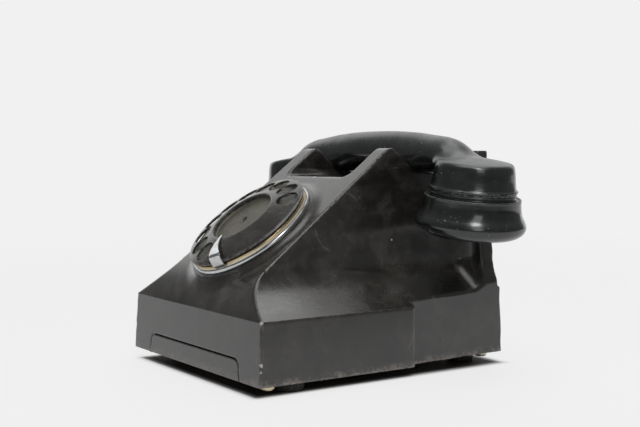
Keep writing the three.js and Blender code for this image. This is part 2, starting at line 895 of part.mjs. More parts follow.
function makePulseCam() {
  const points = Array.from({ length: fingerHoles * 2 }, (_, i) => {
    const angle = (i / fingerHoles) * Math.PI;
    const r = shaftFlange - (i % 2);
    return [r * Math.cos(angle), r * Math.sin(angle)];
  });
  const disc = prismZ(points, gearFront + gap, gearFront + gap + gearWidth);
  return cut(disc, rod(shaftRadius + gap, -frameDepth, over, medium));
}

const springBack = backPlate + gap;
const springFront = spindleZ + gearWidth;

addTo(dialFrame, "dial_bezel", makeBezel(), chrome);
addTo(
  dialFrame, "number_ring",
  tube(ringInner, bezelTopRadius - bezelSheet - gap, ringBottom, ringBottom + ringThickness, fine), enamel,
);
addTo(dialFrame, "dial_frame", makeDialFrame(), steel);
addTo(dialFrame, "finger_stop", makeFingerStop(), chrome);
addTo(dialFrame, "pulse_springs", makePulseSprings(), brass);
addTo(
  dialFrame, "return_spring_barrel",
  cut(
    rod(barrelRadius, springBack, springFront, medium),
    rod(shaftRadius + gap, springBack - over, springFront + over, medium),
    tube(barrelHub, barrelRadius - barrelWall, springBack + labelSheet, springFront + over, medium),
  ), brass,
);
addTo(dialFrame, "finger_plate", makeFingerPlate(), bakelite);
addTo(
  dialFrame, "label_cup",
  turned([
    [labelScrewRadius, cupFloor],
    [cupRadius, cupFloor],
    [cupRadius, cupTop],
    [cupRadius - labelSheet, cupTop],
    [cupRadius - labelSheet, cupFloor + labelSheet],
    [labelScrewRadius, cupFloor + labelSheet],
  ], fine), brass,
);
addTo(dialFrame, "dial_shaft", makeShaft(), steel);
addTo(
  dialFrame, "dial_gear",
  cut(gear(mainTeeth, -gearBack, gearFront), rod(shaftRadius + gap, -frameDepth, over, medium))
    .rotate([0, 0, 90]), brass,
);
addTo(dialFrame, "pulse_cam", makePulseCam(), fibre);
addTo(dialFrame, "governor_pinion", makeGovernorPinion(), brass);
addTo(dialFrame, "governor_spindle", makeGovernorSpindle(), steel);

// Handset. The caps, bells and capsules are turned about an axis that leans outwards at the top.
const handset = new THREE.Group();
handset.position.set(0, saddleY, 0);
part.add(handset);

function atEar(made, side) {
  return made
    .rotate([0, THREE.MathUtils.radToDeg(capTilt) * side, 0])
    .translate([side * capCentreX, 0, capCentreZ]);
}

function makeCap(holes) {
  const wall = turned([
    [0, -capFaceDrop + capDish],
    [capFaceRadius / 3, -capFaceDrop + capDish],
    [capFaceRadius - capDish, -capFaceDrop],
    [capFaceRadius, -capFaceDrop],
    [capRadius - capRound, -capFaceDrop / 2],
    [capRadius, 0],
    [capRadius - capRound, capRise / 5],
    [capRimRadius + capRound, capRise / 2],
    [capRimRadius, capRise - capRound],
    [capRimRadius - capRound, capRise],
    [capInner, capRise],
    [capInner, -capFaceDrop + capDish + capFloor],
    [0, -capFaceDrop + capDish + capFloor],
  ], fine);
  return cut(wall, ...holes);
}

function soundHole(x, y) {
  return rod(soundHoleRadius, -capFaceDrop - over, capRise, holeSides).translate([x, y, 0]);
}

function holeRing(count, circle) {
  return Array.from({ length: count }, (_, i) => {
    const angle = (i / count) * 2 * Math.PI;
    return soundHole(circle * Math.cos(angle), circle * Math.sin(angle));
  });
}

// Section of the handle: a rounded oval between two heights
function handleRing(x, low, high, half) {
  const centre = (low + high) / 2;
  const rise = (high - low) / 2;
  const rounded = (share) => Math.sign(share) * Math.abs(share) ** handleRoundness;
  return Array.from({ length: handleSides }, (_, i) => {
    const angle = (i / handleSides) * 2 * Math.PI;
    const y = half * rounded(Math.cos(angle));
    return new THREE.Vector3(x, y, centre + rise * rounded(Math.sin(angle)));
  });
}

const bellX = capCentreX + bellTop * Math.sin(capTilt);
// Reach along the handle, fall of its top, fall of its underside and gain in width, as shares
const handleShares = [
  [0, 0, 0, 0],
  [0.14, 0.004, 0.1, 0],
  [0.27, 0.015, 0.32, 0],
  [0.41, 0.05, 0.75, 0],
  [0.54, 0.1, 1.05, 0.04],
  [0.67, 0.17, 1.25, 0.12],
  [0.79, 0.25, 1.6, 0.42],
  [0.87, 0.37, 1.6, 0.74],
  [0.97, 0.58, 1.6, 0.98],
  [1.06, 0.74, 1.6, 0.94],
  [1.15, 0.88, 1.6, 0.66],
  [1.225, 0.99, 1.6, -0.6],
];

function makeShell() {
  const handleHalf = handleDepth / 2;
  const half = handleShares.map(([reach, fall, rise, gain]) => {
    const x = reach * bellX;
    const top = handleTop - fall * handleDrop;
    const low = handleTop - handleHeight - rise * handleLow;
    return [x, low, top, handleHalf + gain * (bellTopRadius - handleHalf)];
  });
  const other = half.slice(1).reverse().map(([x, ...rest]) => [-x, ...rest]);
  const handle = lofted([...other, ...half].map((ring) => handleRing(...ring)));
  const neckFoot = bellRim - neckDrop;
  const bells = [-1, 1].map((side) => atEar(turned([
    [0, neckFoot],
    [neckRadius, neckFoot],
    [neckRadius, bellRim],
    [bellRimRadius, bellRim],
    [bellRimRadius, bellRim + bellRound],
    [bellWaistRadius + bellRound, bellRim + bellHollow / 3],
    [bellWaistRadius, bellRim + bellHollow],
    [bellTopRadius, bellTop - bellRound],
    [bellTopRadius - bellRound, bellTop],
    [0, bellTop],
  ], fine), side));
  const hollows = [-1, 1].map((side) => atEar(
    rod(neckRadius - neckWall, neckFoot - over, bellRim + bellHollow, medium), side,
  ));
  const bushHole = atEar(
    rodX(handsetBushRadius + gap, 0, bellRimRadius + over).translate([0, 0, bellRim + bellHollow / 2]), -1,
  );
  return cut(join(handle, ...bells), ...hollows, bushHole);
}

function makeCapsule() {
  const foot = capDish + capFloor - capFaceDrop + gap;
  const radius = neckRadius - neckWall - gap;
  const top = foot + capsuleHeight + capRound;
  return turned([
    [0, foot],
    [radius - looseGap, foot],
    [radius - looseGap, foot + capFloor],
    [radius, bellRim - neckDrop + gap],
    [radius, foot + capsuleHeight],
    [radius - capFloor, top],
    [0, top],
  ], medium);
}

const earHoles = [soundHole(0, 0), ...holeRing(soundHoles, soundHoleCircle)];
const mouthHoles = [...earHoles, ...holeRing(soundHoles * 2, soundHoleCircle * 2)];
const bushFrom = bellWaistRadius - handsetBushLength / 2;
const bushTo = bushFrom + handsetBushLength;
const bush = cut(
  rodX(handsetBushRadius, bushFrom, bushTo, medium),
  rodX(handsetBushRadius / 2, bushFrom - over, bushTo + over),
);

addTo(handset, "handset_shell", makeShell(), bakelite);
addTo(handset, "ear_cap", atEar(makeCap(earHoles), 1), bakelite);
addTo(handset, "mouth_cap", atEar(makeCap(mouthHoles), -1), bakelite);
addTo(handset, "receiver_capsule", atEar(makeCapsule(), 1), steel);
addTo(handset, "transmitter_capsule", atEar(makeCapsule(), -1), steel);
addTo(
  handset, "handset_cord_bush",
  atEar(bush.translate([0, 0, bellRim + bellHollow / 2]), -1), rubber,
);

// Cradle switch: two plungers press one bar, which works the spring set under the deck
[["left", -1], ["right", 1]].forEach(([place, side]) => {
  const made = turned([
    [0, plungerFoot],
    [plungerRadius + plungerCollar, plungerFoot],
    [plungerRadius + plungerCollar, plungerFoot + plungerCollar],
    [plungerRadius, plungerFoot + plungerCollar],
    [plungerRadius, plungerTop - plungerCollar],
    [plungerRadius - plungerCollar, plungerTop],
    [0, plungerTop],
  ], medium);
  addTo(part, `plunger_${place}`, made.translate([side * plungerX, saddleY, 0]), bakelite);
});

const barTop = plungerFoot - gap;
const barHalf = plungerX + plungerRadius;
addTo(
  part, "switch_bar",
  block(
    -barHalf, barHalf,
    saddleY - switchBarDepth / 2, saddleY + switchBarDepth / 2,
    barTop - switchBar, barTop,
  ), steel,
);

const bracketTop = innerDeck - gap;
const springTop = barTop - switchBar - looseGap;
addTo(
  part, "switch_bracket",
  join(
    block(-bracketHalf, bracketHalf, bracketY, bracketY + switchBar, bracketFoot, bracketTop),
    block(
      -bracketHalf, bracketHalf,
      bracketY, bracketY + springBlock * 2,
      bracketTop - switchBar, bracketTop,
    ),
  ), steel,
);

function makeSwitchSprings() {
  const rear = bracketY - gap;
  const height = springLeaves * springPitch;
  const base = block(
    -bracketHalf / 2, bracketHalf / 2, rear - springBlock, rear, springTop - height, springTop - springLeaf,
  );
  const leaves = Array.from({ length: springLeaves }, (_, i) => {
    const z = springTop - springLeaf - i * springPitch;
    return block(-bracketHalf / 3, bracketHalf / 3, saddleY - springBlock, rear - gap, z - springLeaf, z);
  });
  return join(base, ...leaves);
}

addTo(part, "switch_springs", makeSwitchSprings(), brass);

// Ringer: two gongs on posts, a pair of coils on a yoke and a clapper between the gongs
[["left", -1], ["right", 1]].forEach(([place, side]) => {
  const top = gongRim + gongHeight;
  const outer = gongShares.map(([r, h]) => [r * gongRadius, gongRim + h * gongHeight]);
  const inner = outer.map(([r, z]) => [r - gongSheet, Math.max(gongRim, z - gongSheet)]).reverse();
  const gong = turned([...outer, [gongBore, top], [gongBore, top - gongSheet], ...inner], medium);
  const post = turned([
    [0, postFoot],
    [gongPost * 2, postFoot],
    [gongPost * 2, postFoot + gongPost],
    [gongPost, postFoot + gongPost],
    [gongPost, top + gap],
    [gongPost * 2, top + gap],
    [gongPost * 2, top + gap + gongPost],
    [0, top + gap + gongPost],
  ], coarse);
  const collar = rod(gongPost * 2, postFoot, top - gongSheet - gap, coarse);
  addTo(part, `gong_${place}`, gong.translate([side * gongX, gongY, 0]), steel);
  addTo(part, `gong_post_${place}`, join(post, collar).translate([side * gongX, gongY, 0]), brass);
});

const yokeBottom = channelTop + gap;
const yokeTop = yokeBottom + yokeThickness;
const coilBottom = yokeTop + gap;
const coilTop = coilBottom + coilHeight;
const armatureBottom = coilTop + coilCheek;
const armatureTop = armatureBottom + clapperRod;
const clapperZ = gongRim + clapperBall * 2;

function makeYoke() {
  const bar = block(-yokeHalf, yokeHalf, coilY - coilRadius, coilY + coilRadius, yokeBottom, yokeTop);
  const cores = [-1, 1].map((side) =>
    rod(coreRadius, yokeBottom + gap, coilTop + coilCheek - gap * 2, coarse)
      .translate([side * coilX, coilY, 0]),
  );
  const pivot = rod(clapperRod / 2, yokeBottom + gap, armatureBottom - gap, coarse)
    .translate([0, coilY, 0]);
  return join(bar, ...cores, pivot);
}

addTo(part, "ringer_yoke", makeYoke(), steel);

[["left", -1], ["right", 1]].forEach(([place, side]) => {
  const inner = coreRadius + gap;
  const made = turned([
    [inner, coilBottom],
    [coilRadius, coilBottom],
    [coilRadius, coilBottom + coilCheek],
    [coilRadius - coilCheek, coilBottom + coilCheek],
    [coilRadius - coilCheek, coilTop - coilCheek],
    [coilRadius, coilTop - coilCheek],
    [coilRadius, coilTop],
    [inner, coilTop],
  ], medium);
  addTo(part, `ringer_coil_${place}`, made.translate([side * coilX, coilY, 0]), wound);
});

function makeClapper() {
  const half = clapperRod / 2;
  const bend = channelEnd + clapperRod;
  const armature = block(
    -coilX - coreRadius, coilX + coreRadius, coilY - coreRadius, coilY + coreRadius,
    armatureBottom, armatureTop,
  );
  const arm = block(-half, half, coilY, bend + clapperRod, armatureBottom, armatureTop);
  const drop = block(-half, half, bend, bend + clapperRod, clapperZ - half, armatureTop);
  const reach = block(-half, half, bend, gongY, clapperZ - half, clapperZ + half);
  const ball = solid(new THREE.SphereGeometry(clapperBall, 16, 10)).translate([0, gongY, clapperZ]);
  return join(armature, arm, drop, reach, ball);
}

addTo(part, "clapper", makeClapper(), brass);

// Terminals, capacitor and induction coil on the base plate, cord grommets in the rear wall
const terminalY = channelEnd + terminalGap;

function makeTerminals() {
  const board = block(
    -terminalHalf, terminalHalf, terminalY, terminalY + terminalDepth, postFoot, postFoot + terminalHeight,
  );
  const pitch = (terminalHalf * 2) / terminalScrews;
  const screws = Array.from({ length: terminalScrews }, (_, i) =>
    rod(terminalScrewRadius, postFoot + gap, postFoot + terminalHeight + terminalScrewRadius, coarse)
      .translate([i * pitch + pitch / 2 - terminalHalf, terminalY + terminalDepth / 2, 0]),
  );
  return join(board, ...screws);
}

addTo(part, "terminal_block", makeTerminals(), fibre);

const flankX = channelHalf + looseGap;
addTo(
  part, "capacitor",
  block(
    -flankX - capacitorWidth, -flankX,
    flankY, flankY + capacitorLength,
    postFoot, postFoot + capacitorHeight,
  ), steel,
);
addTo(
  part, "induction_coil",
  join(
    rodY(inductionRadius, flankY, flankY + inductionCheek, medium),
    rodY(inductionRadius - coilCheek / 2, flankY + gap, flankY + inductionLength - gap, medium),
    rodY(inductionRadius, flankY + inductionLength - inductionCheek, flankY + inductionLength, medium),
  ).translate([flankX + inductionRadius, 0, postFoot + inductionRadius]), wound,
);

[["handset", 0], ["line", 1]].forEach(([cord, i]) => {
  const innerFace = rearPlinthY - caseWall - gap;
  const made = cut(
    join(
      rodY(grommetRadius, innerFace - gap, rearPlinthY, medium),
      rodY(grommetRadius + coilCheek, innerFace - coilCheek, innerFace, medium),
    ),
    rodY(grommetBore, innerFace - over, caseDepth + over, medium),
  );
  addTo(part, `${cord}_cord_grommet`, made.translate([grommetAxis(i), 0, grommetHeight]), rubber);
});

export default part;
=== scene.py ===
import math

import bmesh
import bpy
import numpy as np
from mathutils import Matrix, Vector


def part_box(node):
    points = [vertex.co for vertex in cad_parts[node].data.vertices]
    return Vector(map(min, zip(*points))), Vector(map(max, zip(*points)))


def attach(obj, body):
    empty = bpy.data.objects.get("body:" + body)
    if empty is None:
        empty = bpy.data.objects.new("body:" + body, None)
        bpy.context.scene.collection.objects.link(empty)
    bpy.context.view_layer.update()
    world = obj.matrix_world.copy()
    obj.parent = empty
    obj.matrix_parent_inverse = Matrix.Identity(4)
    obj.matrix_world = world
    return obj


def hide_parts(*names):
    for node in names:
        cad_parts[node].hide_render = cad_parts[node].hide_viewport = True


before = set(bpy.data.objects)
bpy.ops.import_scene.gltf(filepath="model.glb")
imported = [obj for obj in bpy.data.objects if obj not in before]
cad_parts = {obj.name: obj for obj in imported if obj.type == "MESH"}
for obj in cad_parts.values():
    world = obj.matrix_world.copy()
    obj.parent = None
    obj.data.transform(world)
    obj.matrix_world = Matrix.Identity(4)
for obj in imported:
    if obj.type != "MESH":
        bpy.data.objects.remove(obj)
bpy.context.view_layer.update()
scene = bpy.context.scene
mm = 0.001
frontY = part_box("case")[0].y / mm      # depths below count from the case's front edge

print("stage: frame loaded")


# Small helpers. Points and lengths are in millimetres.

def newPiece(name, mesh, material=None):
    piece = bpy.data.objects.new(name, mesh)
    scene.collection.objects.link(piece)
    if material:
        mesh.materials.append(material)
    return piece


def meshFrom(name, points, faces):
    mesh = bpy.data.meshes.new(name)
    mesh.from_pydata([tuple(v * mm for v in p) for p in points], [], faces)
    shell = bmesh.new()
    shell.from_mesh(mesh)
    bmesh.ops.remove_doubles(shell, verts=shell.verts, dist=1e-7)
    bmesh.ops.recalc_face_normals(shell, faces=shell.faces)
    shell.to_mesh(mesh)
    shell.free()
    return mesh


def settle(piece):
    # applies every modifier and leaves a plain mesh
    mesh = bpy.data.meshes.new_from_object(piece.evaluated_get(bpy.context.evaluated_depsgraph_get()))
    piece.modifiers.clear()
    old, piece.data = piece.data, mesh
    mesh.name = piece.name
    bpy.data.meshes.remove(old)
    return piece


def combine(piece, operation, *tools):
    for tool in tools:
        cutter = piece.modifiers.new("cut", "BOOLEAN")
        cutter.operation, cutter.solver, cutter.object = operation, "MANIFOLD", tool
    settle(piece)
    for tool in tools:
        bpy.data.objects.remove(tool)
    return piece


def handOver(piece, sharpFrom, body, slotName, *nodes):
    # smooth but for edges past an angle, then on its body, with the solids it stands for hidden
    piece.data.shade_smooth()
    piece.data.set_sharp_from_angle(angle=math.radians(sharpFrom))
    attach(piece, body)
    if nodes:
        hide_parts(*nodes)


def moved(piece, matrix):
    piece.data.transform(matrix)
    return piece


def at(x, depth, z=0):
    return Matrix.Translation((x * mm, (depth + frontY) * mm, z * mm))


def turn(degrees, axis):
    return Matrix.Rotation(math.radians(degrees), 4, axis)


def roundedOutline(points, steps=6):
    result = []
    for i, point in enumerate(points):
        here, *sides = (Vector(points[k % len(points)][:2]) for k in (i, i - 1, i + 1))
        if len(point) < 3:
            result.append(here)
            continue
        back, ahead = (side - here for side in sides)
        reach = min(point[2], back.length * 0.49, ahead.length * 0.49)
        start, end = here + back.normalized() * reach, here + ahead.normalized() * reach
        for t in (k / steps for k in range(steps + 1)):
            result.append(start * (1 - t) ** 2 + here * 2 * t * (1 - t) + end * t * t)
    return result


def turned(name, outline, segments=96, material=None):
    # an outline of (radius, height) turned about Z; a third number rounds that corner
    points, rings, faces = [], [], []
    for r, z in roundedOutline(outline):
        around = segments if r >= 1e-6 else 1
        rings.append(range(len(points), len(points) + around))
        angles = (2 * math.pi * k / segments for k in range(around))
        points += [(r * math.cos(a), r * math.sin(a), z) for a in angles]
    for low, high in zip(rings, rings[1:] + rings[:1]):
        for k in range(segments):
            n = (k + 1) % segments
            corners = dict.fromkeys((low[k % len(low)], low[n % len(low)], high[n % len(high)], high[k % len(high)]))
            if len(corners) > 2:
                faces.append(tuple(corners))
    return newPiece(name, meshFrom(name, points, faces), material)


def lofted(name, rings):
    # a closed solid through rings of equally many corners
    count, last = len(rings[0]), (len(rings) - 1) * len(rings[0])
    faces = [tuple(range(count)), tuple(range(last + count - 1, last - 1, -1))]
    for start in range(0, last, count):
        for k in range(count):
            a, b = start + k, start + (k + 1) % count
            faces.append((a, a + count, b + count, b))
    return newPiece(name, meshFrom(name, [p for ring in rings for p in ring], faces))


def prism(name, outline, low, high, axis):
    # straight, along the axis
    place = {"x": lambda u, v, w: (w, u, v), "y": lambda u, v, w: (u, w, v), "z": lambda u, v, w: (u, v, w)}[axis]
    return lofted(name, [[place(u, v, w) for u, v in outline] for w in (low, high)])


def joined(name, pieces):
    shell = bmesh.new()
    materials = []
    for piece in pieces:
        before = len(shell.faces)
        shell.from_mesh(piece.data)
        shell.faces.ensure_lookup_table()
        for face in shell.faces[before:]:
            face.material_index += len(materials)
        materials += piece.data.materials
        bpy.data.objects.remove(piece)
    mesh = bpy.data.meshes.new(name)
    shell.to_mesh(mesh)
    shell.free()
    for material in materials:
        mesh.materials.append(material)
    return newPiece(name, mesh)


def roundParts(name, outline, segments, material, places):
    return joined(name, [moved(turned(name, outline, segments, material), place) for place in places])


def bezier(points, steps):
    # a quadratic or cubic curve through its control points, the first left out
    result = []
    for k in range(1, steps + 1):
        level = [Vector(p) for p in points]
        while len(level) > 1:
            level = [a.lerp(b, k / steps) for a, b in zip(level, level[1:])]
        result.append(tuple(level[0]))
    return result


def smoothCurve(stations, column, where):
    x, y = (np.array([s[k] for s in stations], float) for k in (0, column))
    step = np.diff(y) / np.diff(x)
    lean = np.concatenate([[0], (step[1:] + step[:-1]) / 2, [step[-1]]])
    where = np.clip(where, x[0], x[-1])
    i = np.clip(np.searchsorted(x, where, side="right") - 1, 0, len(x) - 2)
    width = x[i + 1] - x[i]
    t = (where - x[i]) / width
    return ((2 * t ** 3 - 3 * t ** 2 + 1) * y[i] + (t ** 3 - 2 * t ** 2 + t) * width * lean[i]
            + (3 * t ** 2 - 2 * t ** 3) * y[i + 1] + (t ** 3 - t ** 2) * width * lean[i + 1])


# Distance fields, negative inside. They shape the mouldings, with soft edges.

def outlineField(points, u, v):
    shape = np.broadcast(u, v).shape
    nearest, sign = np.full(shape, 1e9), np.ones(shape)
    for (ax, ay, *_), (bx, by, *_) in zip(points, points[1:] + points[:1]):
        ex, ey = bx - ax, by - ay
        wx, wy = u - ax, v - ay
        t = np.clip((wx * ex + wy * ey) / (ex * ex + ey * ey + 1e-12), 0, 1)
        nearest = np.minimum(nearest, (wx - t * ex) ** 2 + (wy - t * ey) ** 2)
        above, below = v >= ay, v < by
        left = ex * wy > ey * wx
        sign = np.where((above & below & left) | (~above & ~below & ~left), -sign, sign)
    return sign * np.sqrt(nearest)


def softMeet(a, b, r):
    # both, with a rounded edge
    return np.minimum(-r, np.maximum(a, b)) + np.hypot(np.maximum(r + a, 0), np.maximum(r + b, 0))


def softJoin(a, b, r):
    # either, with a hollow fillet
    return -softMeet(-a, -b, r)


def slope(field, points, step=0.05):
    x, y, z = points
    grad = np.stack([
        field(x + step, y, z) - field(x - step, y, z),
        field(x, y + step, z) - field(x, y - step, z),
        field(x, y, z + step) - field(x, y, z - step),
    ])
    return grad / (np.linalg.norm(grad, axis=0) + 1e-12)


# A skin of quads on the field's zero level. Each corner sits where the surface planes of its cell meet,
# so creases stay crisp and round stretches smooth.
def skinOf(name, field, low, high, cell, material, pull=0.06, spill=0.02):
    axes = [np.arange(lo, hi + cell, cell) for lo, hi in zip(low, high)]
    size = tuple(len(a) for a in axes)
    cells = tuple(n - 1 for n in size)
    value = np.broadcast_to(field(*np.meshgrid(*axes, indexing="ij", sparse=True)), size)
    crossings = []
    for axis in range(3):
        first, second = (tuple(part if d == axis else slice(None) for d in range(3))
                         for part in (slice(0, -1), slice(1, None)))
        solid = value[first] < 0
        index = np.argwhere(solid != (value[second] < 0))
        where = tuple(index.T)
        fa, fb = value[first][where], value[second][where]
        point = np.stack([axes[d][index[:, d]] for d in range(3)]).astype(float)
        point[axis] += fa / (fa - fb) * cell
        crossings.append((axis, index, point, solid[where]))
    normals = slope(field, np.concatenate([c[2] for c in crossings], axis=1))
    quads, entries, weights, start = [], [], [], 0
    for axis, index, point, solidFirst in crossings:
        normal = normals[:, start:start + len(index)]
        start += len(index)
        # the four cells round each crossed edge
        corners = [np.ravel_multi_index(tuple((index + np.roll((0, du, dv), axis)).T), cells, mode="clip")
                   for du, dv in ((-1, -1), (0, -1), (0, 0), (-1, 0))]
        entries += corners
        weights += [np.concatenate([normal, point])] * 4
        quad = np.stack(corners, axis=1)
        quad[~solidFirst] = quad[~solidFirst][:, ::-1]
        quads.append(quad)
    n, p = np.split(np.concatenate(weights, axis=1), 2)
    used, slot = np.unique(np.concatenate(entries), return_inverse=True)

    def gather(w):
        return np.bincount(slot, weights=w, minlength=len(used))

    share = gather(np.ones(len(slot)))
    middle = np.array([gather(row) / share for row in p])
    offset = np.sum(n * (p - middle[:, slot]), axis=0)
    matrix = np.array([[gather(a * b) for b in n] for a in n]).T + pull * share[:, None, None] * np.eye(3)
    right = np.array([gather(row * offset) for row in n]).T
    corner = middle + np.linalg.solve(matrix, right[..., None])[..., 0].T
    for i, place in enumerate(np.unravel_index(used, cells)):
        base = axes[i][0] + place * cell
        corner[i] = np.clip(corner[i], base - spill * cell, base + (1 + spill) * cell)
    mesh = bpy.data.meshes.new(name)
    mesh.from_pydata((corner.T * mm).tolist(), [], np.searchsorted(used, np.concatenate(quads)).tolist())
    mesh.update()
    return newPiece(name, mesh, material)


# How near an edge, a hollow or a chip (place and radius) lies, kept on the mesh for wear and grime
def markWear(mesh, field, reach, chips=()):
    count = len(mesh.vertices)
    co = np.empty(count * 3)
    mesh.vertices.foreach_get("co", co)
    points = co.reshape(-1, 3).T / mm
    normal, here = slope(field, points), field(*points)
    inner, outer = (field(*(points + normal * side)) - here for side in (-reach, reach))
    chip = np.zeros(count)
    for x, depth, z, radius in chips:
        away = np.linalg.norm(points - np.array((x, depth + frontY, z))[:, None], axis=0)
        chip = np.maximum(chip, np.clip(1.5 - away / radius, 0, 1))
    marks = {"edge": (inner + reach) / reach, "hollow": (reach - outer) / reach, "chip": chip}
    for label, values in marks.items():
        layer = mesh.attributes.new(label, "FLOAT", "POINT")
        layer.data.foreach_set("value", np.clip(values, 0, 1).astype(np.float32))


# A small language for node trees: a socket given as a value is wired, anything else is set.

class Nodes:
    def __init__(self, tree):
        self.tree = tree
        tree.nodes.clear()

    def node(self, kind, values=None, **props):
        made = self.tree.nodes.new(kind)
        for key, value in props.items():
            setattr(made, key, value)
        for key, value in (values or {}).items():
            if isinstance(value, bpy.types.NodeSocket):
                self.tree.links.new(value, made.inputs[key])
            else:
                made.inputs[key].default_value = value
        return made

    def out(self, kind, values=None, pick=0, **props):
        return self.node(kind, values, **props).outputs[pick]

    def maths(self, operation, *values, clamp=False):
        return self.out("ShaderNodeMath", dict(enumerate(values)), operation=operation, use_clamp=clamp)

    def times(self, a, b):
        return self.maths("MULTIPLY", a, b)

    def most(self, first, *others):
        for other in others:
            first = self.maths("MAXIMUM", first, other)
        return first

    def shaderMix(self, share, a, b):
        return self.out("ShaderNodeMixShader", {0: share, 1: a, 2: b})


class Finish(Nodes):
    # every pattern reads the piece's own coordinates
    def __init__(self, name, **values):
        self.material = bpy.data.materials.new(name)
        self.material.use_nodes = True
        super().__init__(self.material.node_tree)
        self.shader = self.node("ShaderNodeBsdfPrincipled", values)
        self.surface = self.node("ShaderNodeOutputMaterial", {0: self.shader.outputs[0]}).inputs[0]
        self.place = self.out("ShaderNodeTexCoord", pick="Object")

    def stretched(self, scale, angles):
        return self.out("ShaderNodeMapping", {"Vector": self.place, "Scale": scale, "Rotation": angles})

    def noise(self, scale, detail=4.0, rough=0.55, warp=0.0, place=None):
        return self.out("ShaderNodeTexNoise", {"Vector": place or self.place, "Scale": scale, "Detail": detail,
                                               "Roughness": rough, "Distortion": warp})

    def spots(self, scale, feature="F1", place=None):
        return self.out("ShaderNodeTexVoronoi", {"Vector": place or self.place, "Scale": scale}, feature=feature)

    def between(self, value, low, high, start=0.0, end=1.0):
        return self.out("ShaderNodeMapRange", {"Value": value, "From Min": low, "From Max": high,
                                               "To Min": start, "To Max": end}, clamp=True)

    def mixed(self, share, a, b):
        return self.out("ShaderNodeMix", {0: share, 6: a, 7: b}, 2, data_type="RGBA")

    def part(self, axis, vector=None):
        return self.out("ShaderNodeSeparateXYZ", {0: vector or self.place}, axis)

    def kept(self, label):
        return self.out("ShaderNodeAttribute", pick="Fac", attribute_name=label)

    def scratches(self, scale, width, angles, stretch=26):
        # long thin lines: a stretched pattern of cells, only their borders
        place = self.stretched((1, stretch, stretch), angles)
        wander = self.noise(scale * 0.4, 2, place=place)
        line = self.between(self.spots(scale, "DISTANCE_TO_EDGE", place), 0.0, width, 1, 0)
        return self.times(line, self.between(wander, 0.52, 0.6))

    def coat(self, colour, rough):
        self.tree.links.new(colour, self.shader.inputs["Base Color"])
        self.tree.links.new(rough, self.shader.inputs["Roughness"])

    def bumps(self, *layers):
        # each layer: height, its full depth in metres, strength
        values = {}
        for height, distance, strength in layers:
            values.update({"Height": height, "Distance": distance, "Strength": strength})
            values["Normal"] = self.out("ShaderNodeBump", values)
        self.tree.links.new(values["Normal"], self.shader.inputs["Normal"])
        return self.material


def grey(value, warm=0.0):
    return (value * (1 + warm), value, value * (1 - warm), 1)


# Finishes

def bakeliteFinish(name, look):
    f = Finish(name, IOR=look["ior"])
    cloud = f.noise(look["cloud"], 6, 0.62, 0.5)
    mottle = f.noise(look["cloud"] * 5, 6, 0.68, 0.3)
    fine = f.noise(look["cloud"] * 24, 4, 0.65)
    handled = f.between(f.maths("ADD", cloud, mottle), 0.82, 1.2)
    film = f.between(mottle, 0.45, 0.72)
    smear = f.noise(46, 4, 0.65, 1.2, f.stretched((1, 0.35, 2.2), (0.3, 0.2, 0.5)))
    worn = f.times(f.between(f.kept("edge"), 0.22, 0.62), f.between(f.noise(190, 5, 0.7), 0.4, 0.6))
    hollow = f.between(f.kept("hollow"), 0.15, 0.8)
    lines = f.most(f.scratches(190, 0.014, (0.2, 0.5, 0.9)), f.scratches(130, 0.012, (1.1, 0.2, 2.3), 34))
    hairs = f.times(f.scratches(420, 0.022, (0.7, 1.3, 0.1), 20), 0.5)
    # a few long arcs: thin rings round scattered centres, broken by noise
    arc = f.maths("ABSOLUTE", f.maths("SUBTRACT", f.spots(13), 0.42))
    arc = f.times(f.between(arc, 0.0012, 0.004, 1, 0), f.between(mottle, 0.5, 0.6))
    scratched = f.most(lines, hairs, arc)
    speckSize = f.between(f.noise(75, 3, 0.6), look["speckFrom"], look["speckFrom"] + 0.2, 0.0, 0.16)
    specks = f.maths("LESS_THAN", f.spots(540), speckSize)
    upward = f.part("Z", f.out("ShaderNodeNewGeometry", pick="Normal"))
    settled = f.times(f.between(upward, 0.2, 0.95), f.between(fine, 0.3, 0.7, 0.6, 1))
    foot = f.between(f.part("Z"), look["foot"], look["foot"] + 0.0045, 1, 0)
    rubbed = f.times(foot, f.between(f.noise(110, 5, 0.75), 0.44, 0.6))
    knocked = f.times(f.kept("chip"), f.between(f.noise(700, 3, 0.7), 0.3, 0.6, 0.5, 1.3))
    flaws = f.most(f.times(specks, look["specks"]), f.between(knocked, 0.5, 0.62))
    colour = f.mixed(handled, look["deep"], look["faded"])
    for share, amount, over in (
            (film, look["film"], "dustColour"), (settled, look["dust"], "dustColour"),
            (hollow, look["grime"], "dustColour"), (worn, look["wear"], "wornColour"),
            (scratched, 0.3, "wornColour"), (rubbed, 0.75, "footColour"), (flaws, 1, "speckColour")):
        colour = f.mixed(f.times(share, amount), colour, look[over])
    rough = f.between(cloud, 0.35, 0.65, look["gloss"], look["matte"])
    for more in (f.between(smear, 0.5, 0.75, 0, look["smear"]), f.between(mottle, 0.42, 0.66, 0, 0.05),
                 f.times(settled, look["dust"]), f.times(worn, 0.2), f.times(f.most(flaws, rubbed), 0.4)):
        rough = f.maths("ADD", rough, more, clamp=True)
    f.coat(colour, rough)
    return f.bumps((f.noise(30, 3, 0.5), 0.0003, 0.22), (f.noise(820, 2, 0.5), 0.00002, 0.3),
                   (scratched, 0.00003, -0.35), (flaws, 0.00008, -0.5))


